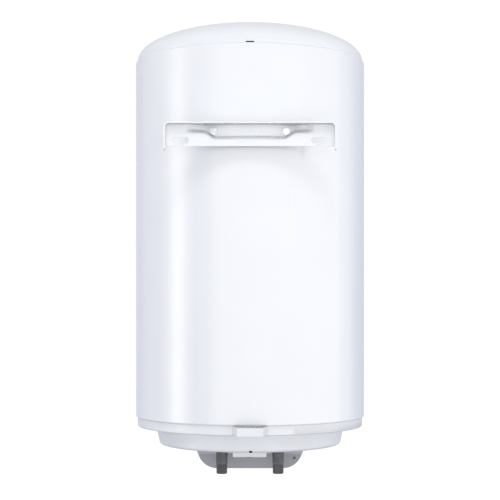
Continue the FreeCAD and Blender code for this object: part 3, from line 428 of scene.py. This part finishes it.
# ---------------------------------------------------------------- wall bracket
# The row frame's origin lies between the slots, on the plate's wall face.
bracket_low, bracket_high = node_box("wall_bracket")
WALL_Y = bracket_high.y
PLATE_Y = drawn(Vector((0, 0, 0))).y
SLOT_Z = drawn(Vector((0, 0, 0))).z
SHEET = 2.5
BEND = 2.2                      # inner radius of the bends
BEND_STEPS = 5
CORNER_R = 11.5
PLATE_EDGE = -10.0              # plate's lower edge, from the slots' line
EAR_TIP = 1.5                   # radius of the ears' tips at the wall
EAR_HEEL = 2.0                  # how much the ears' other corner is rounded
EAR_ROWS = 6
SLOT_X = 122.0
SLOT_R = 5.75
SLOT_RUN = 9.75                 # from the slot's middle to the centres of its round ends
NECK = 5.1
FLARE = 3.0
POCKET_HALF = 112.0
POCKET_SLOPE = math.tan(math.radians(35.0))
POCKET_SOFT = 3.0               # how gradually a slope turns into the floor or the strip
POCKET_END = 4.0                # how far past its width the hollow still runs out
POCKET_RUNOUT = 6.0
POCKET_FLOOR_R = JACKET_R + 1.0 + SHEET
POCKET_EDGE = (1.5, 13.0)       # its lower edge in the middle and at the ends, above the slots' line
POCKET_STEP = (60.0, 84.0)      # where that edge starts and ends rising
POCKET_WALL = 9.0               # height of the slope over that edge
POCKET_FOOT = 1.5               # how far under that edge the slope starts
EDGE_STEP = 2.0                 # spacing of points along the strip's outline
GRID = 1.4                      # and over the strip


def plate_depth(x, z):
    """How far the sheet's wall face lies in front of the slots' plane; z is from the slots' line."""
    x = abs(x)
    if x >= POCKET_HALF + POCKET_END:
        return 0.0
    floor = PLATE_Y - math.sqrt(POCKET_FLOOR_R ** 2 - min(x, POCKET_HALF) ** 2)
    slope = (POCKET_HALF - x) * POCKET_SLOPE
    if slope < POCKET_SOFT * 4:
        slope = (slope + math.hypot(slope, POCKET_SOFT)) / 2
    depth = (floor + slope - math.hypot(floor - slope, POCKET_SOFT)) / 2
    depth = max(0.0, depth) * smooth((POCKET_HALF + POCKET_END - x) / POCKET_RUNOUT)
    rise = smooth((x - POCKET_STEP[0]) / (POCKET_STEP[1] - POCKET_STEP[0]))
    edge = POCKET_EDGE[0] + (POCKET_EDGE[1] - POCKET_EDGE[0]) * rise
    return depth * smooth((z - edge + POCKET_FOOT) / POCKET_WALL)


def t_notch(x):
    """The lower edge's run into and out of one slot, from left to right."""
    mouth = PLATE_EDGE + FLARE + 1.0
    flare = [(NECK + FLARE, PLATE_EDGE), (NECK + FLARE * 0.25, PLATE_EDGE + FLARE * 0.6)]
    pts = [(x - across, z) for across, z in flare] + [(x - NECK, mouth), (x - NECK, -SLOT_R)]
    pts += fillet((x - SLOT_RUN, 0.0), SLOT_R, 270, 90, 14)
    pts += fillet((x + SLOT_RUN, 0.0), SLOT_R, 90, -90, 14)
    pts += [(x + NECK, -SLOT_R), (x + NECK, mouth)] + [(x + across, z) for across, z in reversed(flare)]
    return pts


def spaced(start, end, step):
    """Points from start up to end, end left out, about step apart."""
    count = max(1, round(math.dist(start, end) / step))
    return [tuple(a + (b - a) * k / count for a, b in zip(start, end)) for k in range(count)]


def strip_outline(half, top):
    """The strip's three sides that are bent, and its lower edge with the slots."""
    turn = CORNER_R - SHEET - BEND
    bent = spaced((half, PLATE_EDGE), (half, top - turn), EDGE_STEP)
    bent += fillet((half - turn, top - turn), turn, 0, 90, 8)[:-1]
    bent += spaced((half - turn, top), (turn - half, top), EDGE_STEP)
    bent += fillet((turn - half, top - turn), turn, 90, 180, 8)
    bent += spaced((-half, top - turn), (-half, PLATE_EDGE), EDGE_STEP)[1:] + [(-half, PLATE_EDGE)]
    between = SLOT_X - NECK - FLARE
    lower = t_notch(-SLOT_X) + spaced((-between, PLATE_EDGE), (between, PLATE_EDGE), EDGE_STEP)[1:]
    return bent, lower + t_notch(SLOT_X)


def grid_inside(outline, half, top):
    """A grid of points over the strip, none of them close to its outline."""
    border = kdtree.KDTree(len(outline))
    for i, q in enumerate(outline):
        border.insert((*q, 0.0), i)
    border.balance()
    inside = []
    for i in range(-int(half / GRID), int(half / GRID) + 1):
        for k in range(int((top - PLATE_EDGE) / GRID)):
            p = Vector((i * GRID, PLATE_EDGE + (k + 0.5) * GRID))
            if border.find((*p, 0.0))[2] > GRID * 0.75:
                inside.append(p)
    return inside


def pressed_strip(bm, bent, lower, inside):
    """The strip with its slots and its hollow; gives back the vertices along its bent sides."""
    count = len(bent) + len(lower)
    pts = [Vector(q) for q in bent + lower] + inside
    edges = [(i, (i + 1) % count) for i in range(count)]
    flat, _, tris, sources, _, _ = geometry.delaunay_2d_cdt(pts, edges, [list(range(count))], 1, 1e-5)
    verts = [bm.verts.new((p.x, PLATE_Y - plate_depth(p.x, p.y), SLOT_Z + p.y)) for p in flat]
    for tri in tris:
        bm.faces.new([verts[i] for i in tri])
    by_source = {s: verts[i] for i, made_from in enumerate(sources) for s in made_from}
    return [by_source[i] for i in range(len(bent))]


def turned_flange(bm, bent, loop):
    """The flange from the strip's bent sides to the wall; gives back its rows of vertices."""
    normals = []
    for i in range(len(bent)):
        along = (Vector(bent[min(len(bent) - 1, i + 1)]) - Vector(bent[max(0, i - 1)])).normalized()
        normals.append(Vector((along.y, -along.x)))
    normals[0], normals[-1] = Vector((1, 0)), Vector((-1, 0))
    rows = [loop]
    for k in range(1, BEND_STEPS + 1):
        a = math.radians(90 * k / BEND_STEPS)
        out, back = BEND * math.sin(a), BEND * (1 - math.cos(a))
        rows.append([bm.verts.new((p[0] + n.x * out, v.co.y + back, SLOT_Z + p[1] + n.y * out))
                     for p, n, v in zip(bent, normals, loop)])
    bend_end = rows[-1]
    for share in (0.25, 0.5, 0.75, 1.0):
        rows.append([bm.verts.new((v.co.x, v.co.y + (WALL_Y - v.co.y) * share, v.co.z)) for v in bend_end])
    bridge(bm, rows, False)
    return rows


def ear(bm, column):
    """The side flange's stretch below the strip, from the column of vertices that it hangs from."""
    columns = [column]
    for k in range(1, EAR_ROWS + 1):
        new = []
        for v in column:
            tip = EAR_TIP * corner(max(0.0, v.co.y - WALL_Y + EAR_TIP) / EAR_TIP)
            heel = EAR_HEEL * corner(max(0.0, PLATE_Y + BEND - v.co.y) / BEND)
            drop = bracket_low.z + tip + heel - v.co.z
            new.append(bm.verts.new((v.co.x, v.co.y, v.co.z + drop * k / EAR_ROWS)))
        columns.append(new)
    bridge(bm, columns, False)


def wall_bracket():
    """Pressed sheet with T-slots, a hollow for the bolts and a flange turned to the wall on three sides."""
    half = bracket_high.x - SHEET - BEND
    top = bracket_high.z - SLOT_Z - SHEET - BEND
    bent, lower = strip_outline(half, top)
    bm = bmesh.new()
    loop = pressed_strip(bm, bent, lower, grid_inside(bent + lower, half, top))
    rows = turned_flange(bm, bent, loop)
    for end in (0, -1):
        ear(bm, [row[end] for row in rows])
    return bm


bracket = piece("pressed_bracket", wall_bracket(), "heater", "bracket_enamel", ["wall_bracket"])
thicken = bracket.modifiers.new("sheet", "SOLIDIFY")
thicken.thickness = SHEET * MM
thicken.offset = -1.0
edge = bracket.modifiers.new("edge", "BEVEL")
edge.width = 0.35 * MM
edge.segments = 2
edge.limit_method = "ANGLE"
edge.angle_limit = math.radians(50)
edge.harden_normals = True

# ---------------------------------------------------------------- pipe stubs
PITCH = 1.814
PITCH_ROWS = 9                  # rows of vertices to a turn of the thread
THREAD_R = 10.478
THREAD_DEPTH = 1.162
THREAD_RUNOUT = 3.0
CHAMFER = 1.3
BORE_R = 7.8
BORE_ROUND = 0.4


def threaded_stub(node):
    """Half inch stub: plain shank, round-crested helical thread and a chamfered end."""
    low, high = node_box(node)
    centre = ((low.x + high.x) / 2, (low.y + high.y) / 2)
    pipe_r = (high.x - low.x) / 2
    thread_top = low.z + THREAD_L

    def radius(r, z, angle):
        if r < BORE_R + BORE_ROUND + 0.1 or z > thread_top:
            return r
        turn = (z / PITCH + angle / (2 * math.pi)) % 1.0
        tooth = (0.5 - 0.5 * math.cos(2 * math.pi * turn)) * smooth((thread_top - z) / THREAD_RUNOUT)
        return min(r - THREAD_DEPTH * tooth, THREAD_R - CHAMFER + (z - low.z))

    profile = [(BORE_R, high.z), (pipe_r, high.z), (pipe_r, thread_top + 0.6)]
    rows = int(THREAD_L / PITCH * PITCH_ROWS)
    profile += [(THREAD_R, thread_top - THREAD_L * k / rows) for k in range(rows + 1)]
    profile += [(BORE_R + BORE_ROUND, low.z), (BORE_R, low.z + BORE_ROUND)]
    bm = bmesh.new()
    lathe(bm, profile, 72, centre, radius)
    return bm


for node in ("cold_inlet_nipple", "hot_outlet_nipple"):
    piece(node.replace("nipple", "stub"), threaded_stub(node), "heater", "pipe_dark", [node], 50)

# ---------------------------------------------------------------- softened edges
SOFTENED = {
    "bottom_rim": 0.5, "lower_cover": 0.4, "control_housing": 0.5, "cable_entry_box": 0.4,
    "cable_gland": 0.4, "cover_screws": 0.2, "housing_screws": 0.2, "bracket_washers": 0.25,
    "terminal_block": 0.3,
}


def soften(node, width):
    """Rounds a CAD node's sharp edges a little, in millimetres."""
    obj = frame["nodes"][node]
    weld = obj.modifiers.new("weld", "WELD")
    weld.merge_threshold = 0.00001
    bevel = obj.modifiers.new("soften", "BEVEL")
    bevel.width = width * MM
    bevel.segments = 3
    bevel.limit_method = "ANGLE"
    bevel.angle_limit = math.radians(35)
    bevel.harden_normals = True
    bevel.use_clamp_overlap = True


for node, width in SOFTENED.items():
    soften(node, width)

# ---------------------------------------------------------------- knob and its scale
knob_low, knob_high = node_box("control_knob")
KNOB_X, KNOB_Y = (knob_low.x + knob_high.x) / 2, (knob_low.y + knob_high.y) / 2
KNOB_R = (knob_high.x - knob_low.x) / 2
STEM_L = 12.0
STEM_R = 6.0
STEM_BORE = 3.2
DISC_T = 4.0
DISH = 0.8                      # depth of the hollow in the disc's face
FLUTES = 30
FLUTE_DEPTH = 0.7
GRIP_W = 9.0
GRIP_WAIST = 0.28               # share of its width that the grip loses in the middle
GRIP_ROUND = 1.6
GRIP_LEVELS = 12
MARK_W = 1.4
MARK_L = 9.0
MARK_END = 5.0                  # from the knob's rim to the pointer mark
MARK_RISE = 0.25                # of the pointer mark above the grip
PRINT = 0.15                    # thickness of raised print
SUNK = 0.05                     # how far print reaches into the face under it
SCALE_R = 32.6
SCALE_START = 104.0             # degrees from +X, in the joint's sense
SCALE_END = 360.0
SCALE_STEPS = 108
SCALE_W = (0.7, 3.7)            # the wedge's width at its two ends
TICKS = 7
TICK_W = 0.9
TICK_L = 2.4
TICK_R = SCALE_R + 3.0
DOT_R = 1.5
DOT_TURN = SCALE_START - 14     # where the pointer rests


def grip_bar(bm, start, end):
    """Waisted bar across the knob, from height start down to end, with a crowned lower face."""
    rows = []
    for level in range(GRIP_LEVELS):
        share = level / (GRIP_LEVELS - 1)
        crown = GRIP_ROUND * corner(smooth((share - 0.6) / 0.4))
        ring = []
        for k in range(96):
            a = 2 * math.pi * k / 96
            u = math.copysign(abs(math.cos(a)) ** 0.55, math.cos(a))
            v = math.copysign(abs(math.sin(a)) ** 0.8, math.sin(a))
            half = GRIP_W / 2 * (1.0 - GRIP_WAIST * (1 - v * v) * smooth(share * 2)) - crown * 0.8
            place = (KNOB_X + u * half, KNOB_Y + v * (KNOB_R - 2.2 - crown), start + (end - start) * share)
            ring.append(bm.verts.new(place))
        rows.append(ring)
    bridge(bm, rows, True)
    bm.faces.new(rows[0])
    bm.faces.new(reversed(rows[-1]))


def fluted_knob():
    """Turned disc with a fluted rim, a waisted grip bar across it and a hollow stem."""
    top = knob_high.z - STEM_L
    under = top - DISC_T

    def flutes(r, z, angle):
        share = smooth((r - KNOB_R + 2.5) / 1.5)
        return r - share * FLUTE_DEPTH * (0.5 + 0.5 * math.cos(FLUTES * angle))

    profile = [(STEM_BORE, knob_high.z - 0.4), (STEM_BORE + 0.4, knob_high.z)]
    profile += [(STEM_R - 0.4, knob_high.z), (STEM_R, knob_high.z - 0.4)]
    profile += [(STEM_R, top), (KNOB_R - 3.0, top)]
    profile += fillet((KNOB_R - 1.0, top - 1.0), 1.0, 90, 0, 5)
    profile += fillet((KNOB_R - 1.2, under + 1.2), 1.2, 0, -90, 6)
    profile += [(KNOB_R - 3.5, under)]
    profile += [(r, under + DISH) for r in (KNOB_R - 5.5, STEM_R + 2.0, STEM_BORE)]
    bm = bmesh.new()
    lathe(bm, profile, FLUTES * 12, (KNOB_X, KNOB_Y), flutes)
    grip_bar(bm, under + DISH + 0.6, knob_low.z + MARK_RISE)
    return bm


def flat_patch(bm, outline, z, rise):
    """Closed plate over a convex or strip outline given as two equally long sides."""
    a0, b0 = ([bm.verts.new((px, py, z)) for px, py in side] for side in outline)
    a1, b1 = ([bm.verts.new((px, py, z + rise)) for px, py in side] for side in outline)
    bridge(bm, [a0, b0, b1, a1, a0], False)
    for end in (0, -1):
        bm.faces.new([a0[end], b0[end], b1[end], a1[end]])


def spoke(turn):
    """Unit direction away from the knob's axis, turn degrees from +X."""
    a = math.radians(turn)
    return Vector((math.cos(a), math.sin(a)))


def dial_scale():
    """Growing wedge round the knob well, a dot before its start and ticks at equal turns."""
    face = node_box("control_housing")[0].z
    axis = Vector((KNOB_X, KNOB_Y))
    bm = bmesh.new()
    inner, outer = [], []
    for k in range(SCALE_STEPS + 1):
        share = k / SCALE_STEPS
        out = spoke(SCALE_START + (SCALE_END - SCALE_START) * share)
        half = (SCALE_W[0] + (SCALE_W[1] - SCALE_W[0]) * share) / 2
        inner.append(axis + out * (SCALE_R - half))
        outer.append(axis + out * (SCALE_R + half))
    flat_patch(bm, (inner, outer), face - PRINT, PRINT + SUNK)
    for k in range(TICKS):
        out = spoke(SCALE_START + (SCALE_END - SCALE_START) * k / (TICKS - 1))
        aside = Vector((-out.y, out.x)) * TICK_W / 2
        start = axis + out * TICK_R
        end = start + out * (TICK_L if k % 2 == 0 else TICK_L * 0.6)
        sides = [[start + aside * s, end + aside * s] for s in (-1, 1)]
        flat_patch(bm, sides, face - PRINT, PRINT + SUNK)
    dot = axis + spoke(DOT_TURN) * SCALE_R
    low, high = face - PRINT, face + SUNK
    lathe(bm, [(0, low), (DOT_R, low), (DOT_R, high), (0, high)], 32, dot)
    return bm


def knob_pointer():
    """Raised mark along one end of the grip bar."""
    end = knob_high.y - MARK_END
    sides = [[(KNOB_X + s * MARK_W / 2, end - MARK_L), (KNOB_X + s * MARK_W / 2, end)] for s in (-1, 1)]
    bm = bmesh.new()
    flat_patch(bm, sides, knob_low.z, MARK_RISE + 0.3)
    return bm


piece("fluted_knob", fluted_knob(), "knob", "knob_white", ["control_knob"], 50)
piece("dial_scale", dial_scale(), "heater", "knob_white")
piece("knob_pointer", knob_pointer(), "knob", "knob_white", look=LOOKS["reset_red"])


# ---------------------------------------------------------------- small fittings
cap_low, cap_high = node_box("top_cap")
cover_low, cover_high = node_box("lower_cover")
JACKET_TOP = drawn(jacket_high).z
CAP_R = (cap_high.x - cap_low.x) / 2
CAP_SKIRT = 4.6
CAP_WALL = 2.2
CAP_SLOT_W = 17.6
CAP_SLOT_H = 2.3
CAP_SLOT_Z = JACKET_TOP + 0.2
DOME_ROWS = 60
DOME_STEPS = 360
SHADE_STRIP_GAP = 0.05                 # round the painted-shade strip in the cap's slot, above and below
SHADE_STRIP_INSET = (3.0, 0.9)         # of its inner and outer face, from the cap's face
LATCH_X = -1.2
LATCH_W = 5.5
LATCH_INSET = (18.0, 7.4)       # of its inner and outer end, from the cover's rear edge
LATCH_RISE = (0.35, 4.2)        # of its lower and upper face, above the cover's lower face
REAR_SCREW_X = -84.4
REAR_SCREW_Z = -77.4
REAR_SCREW_R = 2.45
REAR_SCREW_L = 4.0
REAR_SCREW_Y = 33.8             # its face, sunk in the housing's rear


def rounded_box(bm, low, high, r, steps=5):
    """Closed box with rounded vertical edges and a rounded lower face."""
    cx, cy = (low[0] + high[0]) / 2, (low[1] + high[1]) / 2
    hx, hy = (high[0] - low[0]) / 2, (high[1] - low[1]) / 2
    levels = [(high[2], 0.0), (low[2] + r, 0.0)]
    for k in range(1, steps + 1):
        a = math.radians(90 * k / steps)
        levels.append((low[2] + r * (1 - math.sin(a)), r * (1 - math.cos(a))))
    rows = []
    for z, inset in levels:
        turn = max(0.3, r - inset)
        ax, ay = hx - inset - turn, hy - inset - turn
        outline = []
        for sx, sy, start in ((1, 1, 0), (-1, 1, 90), (-1, -1, 180), (1, -1, 270)):
            outline += fillet((cx + sx * ax, cy + sy * ay), turn, start, start + 90, steps)
        rows.append([bm.verts.new((x, y, z)) for x, y in outline])
    bridge(bm, rows, True)
    bm.faces.new(rows[0])
    bm.faces.new(reversed(rows[-1]))


def cover_latch():
    """Black tongue, a plain rounded block, in the latch window at the cover's rear edge."""
    y_in, y_out = (cover_high.y - inset for inset in LATCH_INSET)
    z_low, z_high = (cover_low.z + rise for rise in LATCH_RISE)
    bm = bmesh.new()
    rounded_box(bm, (LATCH_X - LATCH_W / 2, y_in, z_low), (LATCH_X + LATCH_W / 2, y_out, z_high), 0.7)
    return bm


def cut_slot(bm, rows):
    """The cap's prying slot: its faces on both sides are taken out, and the wall between them is closed."""
    half = round(CAP_SLOT_W / 2 / CAP_R / (2 * math.pi) * DOME_STEPS)
    columns = range(DOME_STEPS // 4 - half, DOME_STEPS // 4 + half)
    out, inn = (rows[2], rows[3]), (rows[-3], rows[-4])
    doomed = []
    for k in columns:
        for below, over in (out, inn):
            corners = {below[k], below[k + 1], over[k], over[k + 1]}
            doomed += [f for f in below[k].link_faces if set(f.verts) == corners]
    bmesh.ops.delete(bm, geom=doomed, context="FACES_ONLY")
    for level in (0, 1):
        for k in columns:
            bm.faces.new((out[level][k], out[level][k + 1], inn[level][k + 1], inn[level][k]))
    for k in (columns.start, columns.stop):
        bm.faces.new((out[0][k], out[1][k], inn[1][k], inn[0][k]))


def domed_cap():
    """Thin elliptical dome on a short skirt, with a spigot below and a prying slot at the rear."""
    base = JACKET_TOP + CAP_SKIRT
    rise = cap_high.z - base
    skirt = [cap_low.z, JACKET_TOP, CAP_SLOT_Z, CAP_SLOT_Z + CAP_SLOT_H]
    turn = [math.radians(90 * k / DOME_ROWS) for k in range(DOME_ROWS)]
    inside = CAP_R - CAP_WALL
    profile = [(CAP_R, z) for z in skirt]
    profile += [(CAP_R * math.cos(a), base + rise * math.sin(a)) for a in turn]
    profile += [(0, cap_high.z), (0, cap_high.z - CAP_WALL)]
    profile += [(inside * math.cos(a), base + (rise - CAP_WALL) * math.sin(a)) for a in reversed(turn)]
    profile += [(inside, z) for z in reversed(skirt)]
    bm = bmesh.new()
    cut_slot(bm, lathe(bm, profile, DOME_STEPS))
    return bm


def slot_shade_strip():
    """Black strip in the cap's prying slot, set back from its face: painted shade standing in for the
    slot's dark depth.
    """
    half = CAP_SLOT_W / 2 - 0.3
    y_in, y_out = (CAP_R - inset for inset in SHADE_STRIP_INSET)
    bm = bmesh.new()
    z_low, z_high = CAP_SLOT_Z + SHADE_STRIP_GAP, CAP_SLOT_Z + CAP_SLOT_H - SHADE_STRIP_GAP
    rounded_box(bm, (-half, y_in, z_low), (half, y_out, z_high), 0.3)
    return bm


def rear_screw():
    """Recessed round-headed screw with a conical drive hole, in the housing's rear face."""
    profile = [(0.05, REAR_SCREW_L), (REAR_SCREW_R, REAR_SCREW_L), (REAR_SCREW_R, 0.7)]
    profile += [(REAR_SCREW_R - 0.6, 0.0), (1.1, 0.0), (0.8, 1.0), (0.05, 1.3)]
    bm = bmesh.new()
    rows = []
    for r, depth in profile:
        row = []
        for k in range(32):
            a = 2 * math.pi * k / 32
            place = (REAR_SCREW_X + r * math.cos(a), REAR_SCREW_Y - depth, REAR_SCREW_Z + r * math.sin(a))
            row.append(bm.verts.new(place))
        rows.append(row)
    bridge(bm, rows, True)
    bm.faces.new(rows[0])
    bm.faces.new(reversed(rows[-1]))
    return bm


DULLED = plated("Dulled screw", (0.2, 0.2, 0.21), 0.5)
piece("cover_latch", cover_latch(), "heater", "thermostat_black")
piece("domed_cap", domed_cap(), "heater", "cap_white", ["top_cap"], 40)
# painted shade: a black strip fills the cap's slot where there is only shade
piece("slot_shade_strip", slot_shade_strip(), "heater", "black_rubber")
piece("rear_screw", rear_screw(), "heater", "zinc_steel", look=DULLED)

# ---------------------------------------------------------------- surroundings
scene = bpy.context.scene
scene.view_settings.view_transform = "Standard"
scene.view_settings.look = "None"

FLOOR_DROP = 0.45               # below the object, in metres: the heater hangs on a wall
FLOOR_R = 9.0


def pale_floor():
    """Plain floor that lights nothing, and is see-through from underneath for the views from below."""
    bm = bmesh.new()
    bmesh.ops.create_circle(bm, cap_ends=True, segments=96, radius=FLOOR_R)
    mesh = bpy.data.meshes.new("floor")
    bm.to_mesh(mesh)
    bm.free()
    floor = bpy.data.objects.new("floor", mesh)
    floor.location = (0.0, AXIS_Y, cad_low.z - FLOOR_DROP)
    floor.visible_diffuse = floor.visible_glossy = False
    scene.collection.objects.link(floor)
    pale = Finish("Pale floor", roughness=0.9, emission_strength=0.42)
    pale.shader.inputs["Base Color"].default_value = (0.86, 0.86, 0.865, 1.0)
    pale.shader.inputs["Emission Color"].default_value = (*WHITE, 1.0)
    sides = pale.node("ShaderNodeMixShader")
    pale.link(pale.node("ShaderNodeNewGeometry").outputs["Backfacing"], sides.inputs[0])
    pale.link(pale.shader.outputs["BSDF"], sides.inputs[1])
    pale.link(pale.node("ShaderNodeBsdfTransparent").outputs["BSDF"], sides.inputs[2])
    pale.link(sides.outputs["Shader"], pale.tree.nodes["Material Output"].inputs["Surface"])
    mesh.materials.append(pale.material)
    return floor


pale_floor()

# Light by compass direction: (degrees from the wall side, +Y, towards +X, strength, coolness).
COMPASS = [
    (-180, 0.25, 0.8), (-155, 0.22, 1.0), (-130, 0.225, 1.0), (-114, 0.38, 0.7), (-98, 0.51, 0.3),
    (-50, 0.545, 0.25), (0, 0.545, 0.25), (30, 0.525, 0.3), (44, 0.28, 0.8), (56, 0.23, 0.8),
    (65, 0.45, 0.3), (72, 0.82, 0.0), (79, 0.80, 0.0), (88, 0.40, 0.4), (98, 0.26, 0.8),
    (124, 0.25, 1.0), (150, 0.24, 1.0), (180, 0.25, 0.8),
]
# How much of it is left by height of the direction: (sine of the height, share).
HEIGHTS = [(-1.0, 0.30), (-0.6, 0.45), (-0.3, 0.85), (-0.1, 1.0), (0.15, 1.0), (1.0, 1.0)]
# Light from above is even all round: (sine of the height, its share of the whole), and its colour.
OVERHEAD = [(-1.0, 0.0), (0.08, 0.0), (0.32, 1.0), (1.0, 1.0)]
OVERHEAD_LIGHT = (0.20, 0.205, 0.215)
COOL = (0.875, 0.93, 1.09)
WARM = (1.0, 0.995, 0.98)
LIGHT = 3.6
BACKDROP = 1.05                 # what the camera sees behind the object


def studio_world():
    """Pale surroundings for the camera, and soft banded light from all round for the object."""
    world = bpy.data.worlds.new("studio")
    world.use_nodes = True
    tree = world.node_tree
    tree.nodes.clear()

    def node(kind, **values):
        made = tree.nodes.new(kind)
        for name, value in values.items():
            setattr(made, name, value)
        return made

    def link(a, b):
        tree.links.new(a, b)

    direction = node("ShaderNodeTexCoord").outputs["Generated"]
    split = node("ShaderNodeSeparateXYZ")
    link(direction, split.inputs[0])
    compass = node("ShaderNodeMath", operation="ARCTAN2")
    link(split.outputs["X"], compass.inputs[0])
    link(split.outputs["Y"], compass.inputs[1])
    share = node("ShaderNodeMapRange")
    share.inputs["From Min"].default_value = -math.pi
    share.inputs["From Max"].default_value = math.pi
    link(compass.outputs[0], share.inputs["Value"])
    bands = [((degrees + 180) / 360, [strength * (w + (c - w) * cool) for w, c in zip(WARM, COOL)])
             for degrees, strength, cool in COMPASS]
    round_about = colour_ramp(tree, share.outputs["Result"], bands)
    lift = node("ShaderNodeMapRange")
    lift.inputs["From Min"].default_value = -1.0
    link(split.outputs["Z"], lift.inputs["Value"])
    heights = [((sine + 1) / 2, [strength] * 3) for sine, strength in HEIGHTS]
    up_and_down = colour_ramp(tree, lift.outputs["Result"], heights)
    both = node("ShaderNodeMix", data_type="RGBA", blend_type="MULTIPLY")
    both.inputs["Factor"].default_value = 1.0
    link(round_about, both.inputs["A"])
    link(up_and_down, both.inputs["B"])
    above = node("ShaderNodeMix", data_type="RGBA")
    above.inputs["B"].default_value = (*OVERHEAD_LIGHT, 1.0)
    overhead = [((sine + 1) / 2, [replaced] * 3) for sine, replaced in OVERHEAD]
    link(colour_ramp(tree, lift.outputs["Result"], overhead), above.inputs["Factor"])
    link(both.outputs["Result"], above.inputs["A"])
    light = node("ShaderNodeBackground")
    link(above.outputs["Result"], light.inputs["Color"])
    light.inputs["Strength"].default_value = LIGHT
    seen = node("ShaderNodeBackground")
    seen.inputs["Color"].default_value = (*WHITE, 1.0)
    seen.inputs["Strength"].default_value = BACKDROP
    ray = node("ShaderNodeLightPath")
    mix = node("ShaderNodeMixShader")
    link(ray.outputs["Is Camera Ray"], mix.inputs["Fac"])
    link(light.outputs[0], mix.inputs[1])
    link(seen.outputs[0], mix.inputs[2])
    out = node("ShaderNodeOutputWorld")
    link(mix.outputs[0], out.inputs["Surface"])
    return world


scene.world = studio_world()


TOP_BOX_AIM = at(0, 0, 340)
TOP_BOX_PLACE = TOP_BOX_AIM + Vector((0.2, 1.3, 1.9))
TOP_BOX_SIZE = (0.9, 0.5)
TOP_BOX_WATTS = 11


def top_box():
    """Rectangular soft light above and behind, turned towards the jacket's middle."""
    data = bpy.data.lights.new("top_box", "AREA")
    data.shape = "RECTANGLE"
    data.size, data.size_y = TOP_BOX_SIZE
    data.energy = TOP_BOX_WATTS
    lamp = bpy.data.objects.new("top_box", data)
    lamp.location = TOP_BOX_PLACE
    lamp.rotation_euler = (TOP_BOX_AIM - TOP_BOX_PLACE).to_track_quat("-Z", "Y").to_euler()
    lamp.visible_glossy = False
    scene.collection.objects.link(lamp)


top_box()

# ---------------------------------------------------------------- camera
EYE_TO_AXIS = 2.44
EYE_HEIGHT = 0.2132             # above the jacket's lower edge
SENSOR = 36.0
LENS = 90.84
SHIFT_Y = 0.1107
camera_data = bpy.data.cameras.new("camera")
camera_data.sensor_width = SENSOR
camera_data.lens = LENS
camera_data.shift_y = SHIFT_Y
camera = bpy.data.objects.new("camera", camera_data)
camera.location = (0.0, AXIS_Y + EYE_TO_AXIS, EDGE_Z + EYE_HEIGHT)
camera.rotation_euler = (math.pi / 2, 0.0, math.pi)
scene.collection.objects.link(camera)
scene.camera = camera
